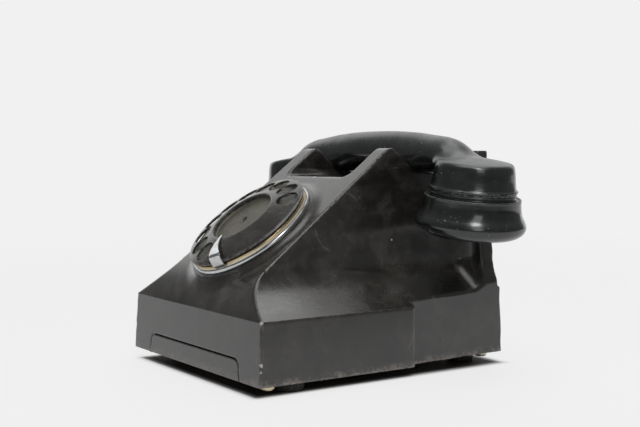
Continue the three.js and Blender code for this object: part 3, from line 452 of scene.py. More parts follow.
caseBakelite = bakeliteFinish("case bakelite", {
    "ior": 1.68, "cloud": 14, "gloss": 0.14, "matte": 0.21, "foot": 0.0062, "specks": 0.55, "speckFrom": 0.56,
    "film": 0.22, "dust": 0.1, "grime": 0.16, "wear": 0.6, "smear": 0.03, "deep": grey(0.009, 0.08),
    "faded": grey(0.0185, 0.1), "dustColour": (0.102, 0.098, 0.08, 1), "wornColour": grey(0.17, 0.05),
    "footColour": grey(0.26, 0.14), "speckColour": grey(0.42, 0.06)})
handsetBakelite = bakeliteFinish("handset bakelite", {
    "ior": 1.66, "cloud": 20, "gloss": 0.11, "matte": 0.18, "foot": -1, "specks": 0.8, "speckFrom": 0.5,
    "film": 0.04, "dust": 0.27, "grime": 0.04, "wear": 0.12, "smear": 0.05, "deep": (0.0042, 0.0056, 0.0052, 1),
    "faded": (0.009, 0.0116, 0.0108, 1), "dustColour": (0.12, 0.131, 0.126, 1),
    "wornColour": (0.17, 0.18, 0.175, 1), "footColour": grey(0.2), "speckColour": grey(0.45, 0.02)})


def metalFinish(name, clean, tarnish, dirt, gloss, matte, cloud=60, metallic=1.0):
    f = Finish(name, Metallic=metallic)
    fine = f.noise(cloud * 8, 3, 0.6)
    stains = f.between(f.noise(cloud, 4, 0.6, 0.3), 0.4, 0.68)
    lines = f.scratches(420, 0.03, (0.4, 0.1, 0.7), 18)
    pits = f.maths("LESS_THAN", f.spots(700), f.between(fine, 0.5, 0.8, 0, 0.16))
    rough = f.maths("ADD", f.between(stains, 0, 1, gloss, matte), f.times(pits, 0.3))
    f.coat(f.mixed(f.times(pits, 0.6), f.mixed(stains, clean, tarnish), dirt),
           f.maths("ADD", rough, f.times(lines, 0.15), clamp=True))
    return f.bumps((lines, 0.00002, -0.3), (pits, 0.00004, -0.5), (fine, 0.00001, 0.3))


# clean, tarnished and dirty, then gloss and matte, size of the stains, how much a metal
metals = {
    "worn chrome": ((0.6, 0.62, 0.64, 1), grey(0.42, 0.02), grey(0.12, 0.2), 0.08, 0.24),
    "cream rim": ((0.66, 0.62, 0.52, 1), (0.46, 0.42, 0.33, 1), (0.1, 0.08, 0.05, 1), 0.26, 0.45, 40, 0.45),
    "golden brown band": ((0.5, 0.37, 0.18, 1), (0.3, 0.2, 0.1, 1), (0.1, 0.06, 0.03, 1), 0.2, 0.4, 40),
    "pale screw brass": ((0.66, 0.6, 0.44, 1), (0.44, 0.37, 0.24, 1), (0.08, 0.07, 0.05, 1), 0.24, 0.45),
    "clockwork brass": ((0.7, 0.53, 0.25, 1), (0.42, 0.29, 0.12, 1), (0.08, 0.06, 0.03, 1), 0.22, 0.42),
    "plated sheet steel": (grey(0.42), (0.27, 0.24, 0.2, 1), (0.1, 0.055, 0.03, 1), 0.3, 0.55, 35),
    "gong steel": (grey(0.6), grey(0.4, 0.06), grey(0.12, 0.2), 0.16, 0.4),
}
chrome, creamMetal, gilded, paleBrass, clockBrass, sheetSteel, gongSteel = (
    metalFinish(name, *row) for name, row in metals.items())


def plainFinish(name, deep, faded, dusty, gloss, matte, grain=900, dust=0.3):
    f = Finish(name)
    cloud, fine = f.noise(50, 5, 0.6), f.noise(grain, 3, 0.6)
    colour = f.mixed(f.between(cloud, 0.35, 0.68), deep, faded)
    colour = f.mixed(f.times(f.between(fine, 0.52, 0.66), dust), colour, dusty)
    f.coat(colour, f.between(cloud, 0.3, 0.7, gloss, matte))
    return f.bumps((fine, 0.00004, 0.5), (cloud, 0.0002, 0.2))


rubberBlack = plainFinish("foot rubber", grey(0.012), grey(0.03, 0.06), grey(0.18, 0.12), 0.6, 0.85)
fibreBoard = plainFinish("fibre board", (0.045, 0.02, 0.01, 1), (0.09, 0.045, 0.022, 1), (0.2, 0.14, 0.1, 1),
                         0.5, 0.75, grain=500)
figureInk = plainFinish("worn figure ink", grey(0.3, 0.08), grey(0.16, 0.08), grey(0.1, 0.1), 0.5, 0.7, dust=0.6)


def windingFinish(name, wire, aged, gap):
    f = Finish(name, Metallic=0.8)
    turns = f.out("ShaderNodeTexWave", {"Vector": f.place, "Scale": 1400, "Distortion": 0.6}, 1, bands_direction="Z")
    cloud = f.noise(120, 3)
    colour = f.mixed(f.between(cloud, 0.4, 0.6), wire, aged)
    colour = f.mixed(f.between(turns, 0.0, 0.4, 0.8, 0), colour, gap)
    f.coat(colour, f.between(cloud, 0.3, 0.7, 0.3, 0.5))
    return f.bumps((turns, 0.00012, 0.8))


copperWinding = windingFinish("enamelled copper winding", (0.3, 0.09, 0.035, 1), (0.16, 0.045, 0.02, 1),
                              (0.02, 0.008, 0.004, 1))


def labelFinish(name, bare, dull, dusty, line, metal, gloss, matte):
    # brushed metal gone dull, dusty and scratched
    f = Finish(name)
    fine = f.noise(1300, 3, 0.6)
    patches = f.between(f.noise(95, 5, 0.65, 0.5), 0.42, 0.6)
    lines = f.most(f.scratches(500, 0.05, (0, 0, 0.5), 14), f.scratches(420, 0.05, (0, 0, 2.2), 16))
    colour = f.mixed(patches, bare, dull)
    colour = f.mixed(f.between(fine, 0.5, 0.7, 0, 0.6), colour, dusty)
    f.coat(f.mixed(f.times(lines, 0.6), colour, line), f.between(fine, 0.3, 0.7, gloss, matte))
    f.tree.links.new(f.between(patches, 0, 1, metal, 0.1), f.shader.inputs["Metallic"])
    return f.bumps((fine, 0.00003, 0.6), (lines, 0.00003, -0.5))


labelMetal = labelFinish("label cup metal", (0.13, 0.122, 0.088, 1), (0.055, 0.053, 0.04, 1), (0.17, 0.165, 0.14, 1),
                         (0.3, 0.29, 0.24, 1), 0.6, 0.38, 0.62)
ringEnamel = labelFinish("number ring enamel", (0.12, 0.118, 0.092, 1), (0.05, 0.05, 0.04, 1),
                         (0.19, 0.187, 0.16, 1), (0.26, 0.26, 0.22, 1), 0.1, 0.4, 0.6)

print("stage: finishes")


# The moulded case: half widths from its middle, depths from its front edge, heights from the table.
# The last lengths only carry outlines and cutters clear past it.

caseShape = {
    "halfFoot": 77.6, "halfTop": 76.0, "plinthTop": 39.8, "foot": 6.0, "depth": 173.4, "frontDraft": 1.8,
    "panelFoot": (19.0, 61.8), "flareFront": (8.0, 53.4), "flareSide": 54.6, "waist": (49.0, 62.0), "topHalf": 45.2,
    "earTop": 128.2, "earRound": 2.4, "earBack": [(113.5, 127.4), (120.5, 114.6), (131, 113.7)],
    "saddle": (139, 113.2), "hornFront": [(146, 114), (149.5, 124.5), (158.4, 126.3)], "hornTop": 126.3,
    "rear": (168.8, 170.3, 171.9), "ledge": 44.8, "ledgeRound": 1.6,
    "deck": 111.6, "deckFoot": 90, "deckHalf": 33.7, "deckFillet": 6.0, "deckEdge": 1.1, "notchAhead": 12,
    "deckDip": 0.9, "dipFrom": 1.2, "dipOver": 1.6,
    "recessY": 101.6, "recessHalf": (70.2, 66.8), "recessEdge": 0.8, "stepRound": 5.0,
    "flangeFront": 160.8, "flangeHalf": (64.5, 58.6), "flangeTop": 131.3, "flangeEdge": 1.6,
    "boss": [(-5, -16), (53, -16), (50.6, -12), (45.6, -6), (41.8, -1.2), (40.6, 1.2), (-5, 1.2)], "bossFillet": 5,
    "hollow": 12.0, "edge": 1.0, "footEdge": 0.5, "wall": 3.5, "cell": 1.0, "wear": 2.2,
    "roomTop": 108.1, "roomLow": 104.0, "roomHalf": (34.6, 41.7), "clear": 5, "past": 20, "above": 8,
    "far": 130,
    "flap": {"half": 55.4, "slope": 1.6, "top": 17.3, "corner": 6.0, "thick": 3.3, "edge": 0.6, "cell": 0.55,
             "wear": 1.4, "gap": 0.3, "flare": 0.45},
    "chips": [(76.1, 1.8, 39.5, 1.5), (77.1, 0.8, 18, 1.3), (77.2, 0.6, 14.5, 0.9), (-77.6, 0, 6.5, 2.0),
              (47.5, 105.3, 75.1, 1.1), (0, 84, 111.4, 1.2)],
}
dial = {"up": 28.8, "hole": 33.4, "tilt": math.radians(37.5)}
switch = {"reach": 33.0, "depth": 132.0}
inlets = {"x": (-26, -44), "z": 17, "radius": 5.3}
screwSpots = ((-68.6, 9.5, 0.4), (68.6, 9.5, 1.9), (-58, 164.4, 2.7), (58, 164.4, 1.2))

footY, footZ = caseShape["panelFoot"]
tiltSin, tiltCos, tiltTan = math.sin(dial["tilt"]), math.cos(dial["tilt"]), math.tan(dial["tilt"])
dialY, dialZ = footY + dial["up"] * tiltCos, footZ + dial["up"] * tiltSin
# from the dial's own frame, z out of the sloping panel, to the model's
dialFrame = Matrix(((1, 0, 0, 0), (0, tiltCos, -tiltSin, (frontY + dialY) * mm),
                    (0, tiltSin, tiltCos, dialZ * mm), (0, 0, 0, 1)))


def panelY(z):
    return footY + (z - footZ) / tiltTan


def sideProfile():
    c = caseShape
    earY, earRound = panelY(c["earTop"]), c["earRound"]
    points = [(0, c["foot"]), (c["frontDraft"], c["plinthTop"])]
    points += bezier([points[-1], c["flareFront"], c["panelFoot"]], 14)
    points.append((earY - earRound, footZ + (earY - earRound - footY) * tiltTan))
    points += bezier([points[-1], (earY, c["earTop"]), (earY + earRound, c["earTop"])], 6)
    points += bezier([points[-1], *c["earBack"]], 18)
    points += [c["saddle"], *bezier([c["saddle"], *c["hornFront"]], 18)]
    rearHeights = (c["hornTop"], c["ledge"] + c["ledgeRound"], c["ledge"])
    return [tuple(p) for p in points] + [*zip(c["rear"], rearHeights), (c["depth"], c["foot"])]


def flankProfile():
    c = caseShape
    low, high = c["foot"] - c["past"], c["earTop"] + c["above"]
    half = [(c["halfFoot"], low), (c["halfFoot"], c["foot"]), (c["halfTop"], c["plinthTop"])]
    half += bezier([half[-1], (c["waist"][0], c["flareSide"]), c["waist"]], 16)
    return half + [(c["topHalf"], high), (-c["past"], high), (-c["past"], low)]


sidePoints, flankPoints = sideProfile(), flankProfile()


def recessField(ax, y):
    c = caseShape
    half, front, soft, rear = c["halfFoot"], c["recessY"], c["stepRound"], c["depth"] + c["clear"]
    corner = bezier([(half - soft, front), (half, front), (half, front - soft)], 6)
    points = [(c["recessHalf"][0], front), (half - soft, front), *corner, (c["far"], front - soft), (c["far"], rear),
              (c["recessHalf"][1], rear)]
    return outlineField(points, ax, y)


def caseField(x, y, z):
    c = caseShape
    y = y - frontY
    ax = np.abs(x)
    out = -(y - dialY) * tiltSin + (z - dialZ) * tiltCos
    up = (y - dialY) * tiltCos + (z - dialZ) * tiltSin
    boss = outlineField(c["boss"], np.sqrt(x * x + up * up), out)
    skin = softJoin(outlineField(sidePoints, y, z), boss, c["bossFillet"])
    deckFront = panelY(c["deck"])
    slab = np.maximum(np.maximum(ax - c["deckHalf"] - 1, z - c["deck"]),
                      np.maximum(deckFront - y, y - c["flangeFront"] - 1))
    skin = np.minimum(skin, np.maximum(slab, c["deckFoot"] - z))
    lowHalf, topHalf = c["flangeHalf"]
    flange = outlineField([(-c["past"], 0), (lowHalf, 0), (lowHalf, c["ledge"]), (topHalf, c["flangeTop"]),
                           (-c["past"], c["flangeTop"])], ax, z)
    flange = softMeet(flange, c["flangeFront"] - y, c["flangeEdge"])
    body = softJoin(outlineField(flankPoints, ax, z), flange, c["hollow"])
    body = softMeet(skin, body, c["edge"])
    floor = c["deck"] - c["deckDip"] * np.clip((y - deckFront - c["dipFrom"]) / c["dipOver"], 0, 1)
    notch = softMeet(ax - c["deckHalf"], floor - z, c["deckFillet"])
    notch = np.maximum(notch, deckFront - c["notchAhead"] - y)
    body = softMeet(body, -notch, c["deckEdge"])
    return softMeet(body, -recessField(ax, y), c["recessEdge"])


def caseRoom():
    # the hollow inside, open at the bottom, as the wall leaves it
    c = caseShape
    wall, top, low = c["wall"], c["roomTop"], c["foot"] - c["clear"]
    rearTop, rearFoot, ledgeY = (y - wall for y in c["rear"])
    innerY, innerZ = footY + tiltSin * wall, footZ - tiltCos * wall
    side = [(wall, low), (c["frontDraft"] + wall, c["plinthTop"])]
    side += bezier([side[-1], (c["flareFront"][0] + wall, c["flareFront"][1] - wall / 2), (innerY, innerZ)], 8)
    side += [(innerY + (top - innerZ) / tiltTan, top), (rearTop, top), (rearFoot, c["ledge"]),
             (ledgeY, c["ledge"] - wall), (c["depth"] - wall, low)]
    front = [(c["halfFoot"] - wall, low), (c["halfTop"] - wall, c["plinthTop"] - wall / 2)]
    waist = c["waist"][0] - wall
    front += bezier([front[-1], (waist, c["flareSide"] - wall / 2), (waist, c["waist"][1])], 8)
    mid, half = c["roomHalf"]
    front += [(half, c["roomLow"]), (mid, c["roomLow"]), (mid, c["deck"])]
    front += [(-x, z) for x, z in reversed(front)]
    room = prism("room", [(y + frontY, z) for y, z in side], -90, 90, "x")
    combine(room, "INTERSECT", prism("across", front, frontY, frontY + c["depth"], "y"))
    flanks = []
    step, end = c["recessY"] - wall + frontY, c["depth"] + c["clear"] + frontY
    first, last = (half - wall for half in c["recessHalf"])
    for side in (-1, 1):
        outline = [(side * first, step), (side * c["far"], step), (side * c["far"], end), (side * last, end)]
        flanks.append(prism("flank", outline, 0, 140, "z"))
    return combine(room, "DIFFERENCE", *flanks)


def flapOutline(inset):
    flap = caseShape["flap"]
    half, top, corner = flap["half"] + inset, flap["top"] + inset, flap["corner"]
    inner = half - flap["slope"]
    edge = [(half, caseShape["foot"]), (inner, top - corner)]
    edge += bezier([edge[-1], (inner, top), (inner - corner, top)], 8)
    return edge + [(-x, z) for x, z in reversed(edge)]


def flapOpening():
    # with a small lead-in at the outer face
    c = caseShape
    gap, flare = c["flap"]["gap"], c["flap"]["flare"]
    rings = []
    for depth, inset in ((-4.0, gap + flare + 4), (0.25, gap + flare), (0.25 + flare, gap), (9.0, gap)):
        ring = flapOutline(inset)
        for end, side in ((0, 0.4), (-1, -0.4)):
            ring[end] = (ring[end][0] + side, c["foot"] - 4)
        draft = c["frontDraft"] / (c["plinthTop"] - c["foot"])
        rings.append([(x, depth + frontY + (z - c["foot"]) * draft, z) for x, z in ring])
    return lofted("flap opening", rings)


def makeCase():
    c = caseShape
    low = (-c["halfFoot"] - 2.3, frontY - 2.1, c["foot"] - 2.4)
    high = (c["halfFoot"] + 2, frontY + c["depth"] + 2, c["earTop"] + 2)

    def outside(x, y, z):
        return softMeet(caseField(x, y, z), c["foot"] - z, c["footEdge"])

    case = skinOf("case_moulding", outside, low, high, c["cell"], caseBakelite)
    hole = moved(turned("dial hole", [(0, -24), (dial["hole"], -24), (dial["hole"], 8), (0, 8)]), dialFrame)
    well = [(0, 100), (4.1, 100), (4.1, c["deck"] - 1.4), (4.7, c["deck"] - 0.8), (4.7, 130), (0, 130)]
    wells = [moved(turned("well", well, 48), at(side * switch["reach"], switch["depth"])) for side in (-1, 1)]
    bore = [(0, -10), (inlets["radius"], -10), (inlets["radius"], 12), (0, 12)]
    bores = [moved(turned("inlet", bore, 48), at(x, c["depth"], inlets["z"]) @ turn(-90, "X")) for x in inlets["x"]]
    combine(case, "DIFFERENCE", caseRoom(), hole, flapOpening(), *wells, *bores)
    markWear(case.data, outside, c["wear"], c["chips"])
    handOver(case, 50, "base", "case_bakelite", "case")
    posts = roundParts("case_posts", [(2.0, 8.3), (5.2, 8.3), (5.2, 28.3), (0, 28.3), (0, 22.6), (2.0, 22.6)],
                       32, None, [at(x, y) for x, y, angle in screwSpots])
    posts.data.materials.append(caseBakelite)
    handOver(posts, 40, "base", "case_bakelite")


makeCase()
print("stage: case")


# The drawer's moulded flap

def flapField(x, y, z):
    flap = caseShape["flap"]
    plate = softMeet(outlineField(sidePoints, y - frontY, z), outlineField(flapOutline(0), x, z), flap["edge"])
    return np.maximum(plate, y - frontY - flap["thick"])


def makeFlap():
    low = (-57.3, frontY - 1.1, caseShape["foot"] - 1.2)
    high = (57.4, frontY + 5, 19)
    flap = skinOf("drawer_front", flapField, low, high, caseShape["flap"]["cell"], caseBakelite)
    markWear(flap.data, flapField, caseShape["flap"]["wear"])
    handOver(flap, 50, "drawer", "case_bakelite", "drawer_flap")


makeFlap()
print("stage: drawer")


# The handset: handle, bells and caps

handset = {
    "y": 132.0, "centre": (86.6, 85.8), "lean": math.radians(7.2), "join": 4.5, "end": 97.0, "cell": 0.72,
    # the handle's section: how high it is widest, and how square; how far in from a surface wear is felt
    "widest": 0.33, "power": 2.1, "wear": 1.6,
}
# Along the handle from its middle: reach, height of the top, height of the underside, half width
handleStations = [
    (0, 138.8, 116.9, 13.0), (13, 138.7, 116.3, 13.0), (25, 138.3, 114.9, 13.0), (33, 137.8, 113.6, 13.0),
    (39, 137.4, 113.3, 13.0), (45, 136.8, 113.3, 13.0), (51, 136.1, 113.6, 13.1), (58, 135.3, 113.9, 13.2),
    (66, 134.3, 114.0, 13.3), (72, 132.6, 113.8, 13.4), (77, 129.8, 113.0, 13.2), (82, 125.9, 110.5, 12.6),
    (87, 120.6, 107.0, 11.2), (92, 114.0, 102.0, 8.5), (97, 106.0, 97.0, 5.0),
]
# Round the axis of an end, upwards from the cap: radius, height
bellOutline = [(-3, 17.9), (24.0, 17.9), (24.0, 18.9), (24.6, 18.9), (24.9, 19.3), (24.8, 20.0), (24.1, 20.8),
               (23.7, 21.8), (23.35, 23.6), (23.0, 25.8), (22.75, 28.0), (22.5, 30.2), (22.2, 32.0), (21.8, 33.2),
               (21.1, 34.1), (20.0, 34.7), (18.5, 35.0), (15, 35.6), (10, 36.3), (5, 37.0), (0, 37.4), (-3, 37.5)]
capOutline = [(0, -3.9), (9, -4.1), (19.5, -5.3, 3), (22.6, -6.5, 1.4), (25.4, -6.5, 1.2), (28.4, -5.0, 1.5),
              (30.4, -2.9, 1.4), (31.1, -0.9, 1.0), (31.1, 0.9, 0.8), (30.3, 3.0, 1), (28.9, 5.3, 1.5), (28.0, 7.6, 2),
              (27.4, 10.6, 2), (27.15, 14.2, 0.8), (27.15, 15.2, 0.35), (26.6, 15.5, 0.35), (25.9, 15.4, 0.3),
              (25.6, 14.8, 0.3), (24.1, 14.8), (24.1, -0.5), (0, -0.5)]
# a groove, a thread ring and a thin bead between cap and bell
collarOutline = [
    (23.2, 6.4), (23.6, 6.4), (23.6, 14.9, 0.2), (24.1, 15.2, 0.2), (24.2, 15.8, 0.3), (23.6, 16.2, 0.2),
    (23.6, 16.6, 0.2), (24.5, 16.8, 0.2), (24.6, 17.3, 0.2), (24.1, 17.6, 0.2), (24.0, 17.85),
    (21.6, 17.85), (21.6, 15.8), (23.2, 15.6)]
sides = {"ear": 1, "mouth": -1}


def handleField(ax, y, z):
    top, low, half = (smoothCurve(handleStations, column, ax) for column in (1, 2, 3))
    half = np.maximum(half, 1.0)
    power = handset["power"]
    widest = low + handset["widest"] * (top - low)
    rise = np.where(z > widest, top - widest, widest - low)
    u, w = np.abs(y) / half, np.abs(z - widest) / rise
    reach = (u ** power + w ** power + 1e-9) ** (1 / power)
    steep = np.hypot((u / reach) ** (power - 1) / half, (w / reach) ** (power - 1) / rise)
    return np.maximum((reach - 1) / np.maximum(steep, 1e-3), ax - handset["end"])


def endField(outline, x, y, z):
    # round the leaning axis of an end of the handset
    ux, uz = np.abs(x) - handset["centre"][0], z - handset["centre"][1]
    leanSin, leanCos = math.sin(handset["lean"]), math.cos(handset["lean"])
    aside = ux * leanCos - uz * leanSin
    return outlineField(outline, np.hypot(aside, y - frontY - handset["y"]), ux * leanSin + uz * leanCos)


def handsetField(x, y, z):
    handle = handleField(np.abs(x), y - frontY - handset["y"], z)
    return softJoin(handle, endField(bellOutline, x, y, z), handset["join"])


def capField(x, y, z):
    return endField(capOutline, x, y, z)


def atEnd(side):
    across, up = handset["centre"]
    return at(side * across, handset["y"], up) @ Matrix.Rotation(handset["lean"] * side, 4, "Y")


def makeShell():
    low = (-116.5, frontY + handset["y"] - 27, 98.3)
    high = (116.6, frontY + handset["y"] + 27, 141)
    shell = skinOf("handset_moulding", handsetField, low, high, handset["cell"], handsetBakelite)
    markWear(shell.data, handsetField, handset["wear"])
    handOver(shell, 60, "handset", "handset_bakelite", "handset_shell")


makeShell()
print("stage: handset shell")


# Repeats by Geometry Nodes: copies of one object round a circle, through named inputs

def ringOfCopies():
    group = bpy.data.node_groups.new("copies round a circle", "GeometryNodeTree")
    for label, kind in (("Piece", "Object"), ("Count", "Int"), ("Circle", "Float"), ("First Angle", "Float"),
                        ("Step Angle", "Float"), ("Material", "Material")):
        group.interface.new_socket(label, in_out="INPUT", socket_type="NodeSocket" + kind)
    group.interface.new_socket("Geometry", in_out="OUTPUT", socket_type="NodeSocketGeometry")
    ring = Nodes(group)
    given = ring.node("NodeGroupInput").outputs
    index = ring.out("GeometryNodeInputIndex")
    angle = ring.maths("MULTIPLY_ADD", index, given["Step Angle"], given["First Angle"])
    across, along = (ring.times(ring.maths(wave, angle), given["Circle"]) for wave in ("COSINE", "SINE"))
    place = ring.out("ShaderNodeCombineXYZ", {0: across, 1: along})
    line = ring.out("GeometryNodeMeshLine", {"Count": given["Count"]})
    points = ring.out("GeometryNodeSetPosition", {"Geometry": line, "Position": place})
    piece = ring.out("GeometryNodeObjectInfo", {"Object": given["Piece"], "As Instance": True}, "Geometry")
    spin = ring.out("ShaderNodeCombineXYZ", {2: angle})
    copies = ring.out("GeometryNodeInstanceOnPoints", {"Points": points, "Instance": piece, "Rotation": spin})
    real = ring.out("GeometryNodeRealizeInstances", {0: copies})
    coated = ring.out("GeometryNodeSetMaterial", {"Geometry": real, "Material": given["Material"]})
    ring.node("NodeGroupOutput", {0: coated})
    return group


circleTree = ringOfCopies()


def copiesOf(name, piece, material, count, circle, first, step):
    holder = newPiece(name, bpy.data.meshes.new(name))
    ring = holder.modifiers.new("copies", "NODES")
    ring.node_group = circleTree
    inputs = [item for item in circleTree.interface.items_tree if item.in_out == "INPUT"]
    for item, value in zip(inputs, (piece, count, circle * mm, first, step, material)):
        ring[item.identifier] = value
    settle(holder)
    bpy.data.objects.remove(piece)
    return holder


# Caps of the handset, with rings of sound holes: count, radius of the circle

soundRings = {"ear": [(1, 0), (6, 7.5), (12, 14)], "mouth": [(1, 0), (6, 7.5)]}
soundHole = [(0, -12), (2.3, -12), (2.3, -6.2), (1.6, -3.4), (1.6, 2), (0, 2)]

for label, side in sides.items():
    cap = turned(f"{label}_piece_cap", capOutline, 144, handsetBakelite)
    combine(cap, "DIFFERENCE", *(
        copiesOf("sound holes", turned("sound hole", soundHole, 20), None, count, circle, 0, 2 * math.pi / count)
        for count, circle in soundRings[label]))
    moved(cap, atEnd(side))
    markWear(cap.data, capField, handset["wear"])
    handOver(cap, 50, "handset", "handset_bakelite", f"{label}_cap")

for label, side in sides.items():
    collar = moved(turned(f"{label}_collar", collarOutline, 144, handsetBakelite), atEnd(side))
    handOver(collar, 35, "handset", "handset_bakelite")

print("stage: handset")


# The dial: outlines of radius and height, round the axis that stands on the panel

bezelParts = {
    "bead": (chrome, [
        (31.0, 1.5), (38.6, 1.5, 0.2), (38.8, 2.1, 0.3), (39.3, 2.7, 0.5), (39.4, 3.4, 0.5), (39.3, 4.1, 0.4),
        (38.95, 4.65, 0.2), (38.6, 4.7, 0.1), (37.9, 4.7), (37.9, 2.4), (31.0, 2.4)]),
    "tier": (creamMetal, [
        (37.4, 2.5), (37.85, 2.5), (37.85, 4.85), (38.6, 4.95, 0.12), (38.32, 6.2), (37.4, 6.2)]),
    "band": (gilded, [(37.45, 6.22), (38.3, 6.22), (38.0, 7.0, 0.15), (37.6, 7.1, 0.1), (37.45, 7.0)]),
}
holes = {"count": 10, "first": math.radians(39.4), "step": math.radians(24.92), "circle": 30.2, "radius": 6.5,
         "wear": 0.9}
holeAngles = [holes["first"] + k * holes["step"] for k in range(holes["count"])]


def makeBezel():
    bezel = joined("dial_rim", [turned(label, outline, 180, material)
                                for label, (material, outline) in bezelParts.items()])
    handOver(moved(bezel, dialFrame), 60, "base", "bezel_chrome", "dial_bezel")


def figure(text, size, depth):
    curve = bpy.data.curves.new("figure", "FONT")
    curve.body, curve.size, curve.extrude = text, size * mm, depth * mm
    curve.align_x, curve.align_y = "CENTER", "CENTER"
    curve.resolution_u = 3
    holder = newPiece("figure", curve)
    mesh = bpy.data.meshes.new_from_object(holder.evaluated_get(bpy.context.evaluated_depsgraph_get()))
    bpy.data.objects.remove(holder)
    bpy.data.curves.remove(curve)
    mesh.materials.clear()
    return newPiece("figure", mesh, figureInk)


def makeNumberRing():
    # a pressed dish: a cone under the finger plate, with a skirt down to its seat
    (innerR, innerZ), (outerR, outerZ) = (22.3, 9.9), (36.9, 7.15)
    ring = turned("ring", [(21.5, 2.9, 0.1), (innerR, 2.9, 0.1), (innerR, 8.9, 0.4), (35.0, 6.5, 0.4), (35.0, 2.9, 0.1),
                           (35.9, 2.9, 0.1), (36.2, 6.2, 0.3), (outerR, 6.6, 0.2), (outerR, outerZ, 0.2),
                           (innerR, innerZ, 0.4), (21.5, 9.6, 0.3)], 144, ringEnamel)
    cone = math.atan2(innerZ - outerZ, outerR - innerR)
    circle = holes["circle"]
    height = innerZ - (circle - innerR) * math.tan(cone) + 0.02
    figures = []
    for k, angle in enumerate(holeAngles):
        spin = Matrix.Rotation(angle, 4, "Z")
        place = spin @ Matrix.Translation((circle * mm, 0, height * mm)) @ Matrix.Rotation(cone, 4, "Y")
        figures.append(moved(figure(str((k + 1) % 10), 6.2, 0.06), place @ spin.inverted()))
    whole = moved(joined("number_plate", [ring, *figures]), dialFrame)
    handOver(whole, 40, "base", "ring_enamel", "number_ring")


plateOutline = [(20.4, 11.2, 0.2), (22, 11.1), (26, 10.5), (30.2, 9.7), (34, 8.9), (37.3, 8.15, 0.3), (38.6, 8.1, 0.4),
                (38.9, 8.7, 0.4), (38.5, 9.25, 0.4), (37.2, 9.8, 0.6), (34, 10.6), (30.2, 11.5), (26, 12.4),
                (22, 13.15, 1), (20.3, 13.4, 0.4), (19.65, 13.1, 0.3), (19.65, 11.0), (20.2, 11.0, 0.2)]


def plateField(x, y, z):
    disc = outlineField(plateOutline, np.hypot(x, y), z)
    for angle in holeAngles:
        away = np.hypot(x - holes["circle"] * math.cos(angle), y - holes["circle"] * math.sin(angle))
        disc = np.maximum(disc, holes["radius"] - away)
    return disc


def makeFingerPlate():
    plate = turned("finger_disc", plateOutline, 180, caseBakelite)
    # drilled square to the domed plate, with a soft rim
    hole = turned("finger hole", [(0, -6), (7.0, -6), (7.0, -1.6), (6.5, -1.1), (6.45, -0.5), (6.6, -0.15), (6.9, 0.1),
                                  (7.4, 0.25), (7.4, 6), (0, 6)], 64)
    dome = Matrix.Rotation(math.atan2(13.15 - 9.8, 37.2 - 22), 4, "Y")
    moved(hole, Matrix.Translation((0, 0, 11.45 * mm)) @ dome)
    combine(plate, "DIFFERENCE", copiesOf("finger holes", hole, None, holes["count"], holes["circle"],
                                          holes["first"], holes["step"]))
    markWear(plate.data, plateField, holes["wear"])
    handOver(moved(plate, dialFrame), 38, "dial_rotor", "case_bakelite", "finger_plate")


def makeLabelCup():
    cup = turned("label_cup_pressed", [
        (1.7, 7.3), (17.6, 7.3, 0.6), (18.4, 9.6, 0.6), (20.3, 10.2, 0.2), (20.3, 10.8, 0.1), (19.62, 10.9, 0.1),
        (19.4, 10.95, 0.1), (19.0, 10.6, 0.3), (18.4, 10.45, 0.4), (3.4, 10.4, 0.3),
        (3.0, 10.7, 0.2), (2.3, 10.7, 0.2), (1.7, 10.2, 0.2)], 144, labelMetal)
    screw = turned("centre_screw", [(0, 6.0), (1.35, 6.0), (1.35, 9.2, 0.3), (0, 9.3)], 32, paleBrass)
    handOver(moved(joined("label_well", [cup, screw]), dialFrame), 40, "dial_rotor", "label_metal", "label_cup")


stopShape = {
    "angle": -63.2, "sheet": 0.7, "edge": 0.18, "columns": 7, "hornRows": 26,
    # its strip from the rim upwards: reach from the centre, height, left and right edge beside the stop's axis
    "upright": [(38.7, 5.3, -3.9, 3.5), (39.2, 6.2, -4.0, 3.5), (39.7, 7.2, -4.15, 3.6), (39.85, 8.2, -4.2, 3.7),
                (39.85, 10.6, -3.9, 3.9), (39.8, 12.6, -3.6, 4.1), (39.5, 13.5, -3.5, 4.3), (39.0, 14.0, -3.5, 4.2),
                (38.3, 14.25, -3.7, 3.9)],
    # the horn that lies over the plate: reach with its sign turned, left and right
    "height": 14.3,
    "horn": [(-36.6, -4.5, 2.9), (-34.0, -5.4, 1.1), (-31.6, -6.0, -0.4), (-28.8, -6.35, -2.0), (-26.1, -6.5, -3.1),
             (-23.7, -6.45, -4.0), (-21.6, -6.3, -4.4), (-19.6, -6.1, -4.4), (-18.4, -5.7, -4.5), (-17.9, -5.3, -4.7)],
}


def makeFingerStop():
    s = stopShape
    rows, count = list(s["upright"]), s["columns"]
    for reach in np.linspace(s["horn"][0][0], s["horn"][-1][0], s["hornRows"]):
        left, right = (float(smoothCurve(s["horn"], column, reach)) for column in (1, 2))
        rows.append((-reach, s["height"], left, right))
    points = [(reach, left + (right - left) * j / (count - 1), height)
              for reach, height, left, right in rows for j in range(count)]
    corners = [i * count + j for i in range(len(rows) - 1) for j in range(count - 1)]
    mesh = meshFrom("finger_catch", points, [(k, k + count, k + count + 1, k + 1) for k in corners])
    stop = newPiece("finger_catch", mesh, chrome)
    if sum(p.normal.z for p in mesh.polygons) < 0:
        mesh.flip_normals()
    thick = stop.modifiers.new("sheet", "SOLIDIFY")
    thick.thickness, thick.offset = s["sheet"] * mm, -1
    soft = stop.modifiers.new("edges", "BEVEL")
    soft.width, soft.segments, soft.limit_method, soft.angle_limit = s["edge"] * mm, 2, "ANGLE", math.radians(50)
    settle(stop)
    handOver(moved(stop, dialFrame @ turn(s["angle"], "Z")), 45, "base", "bezel_chrome", "finger_stop")


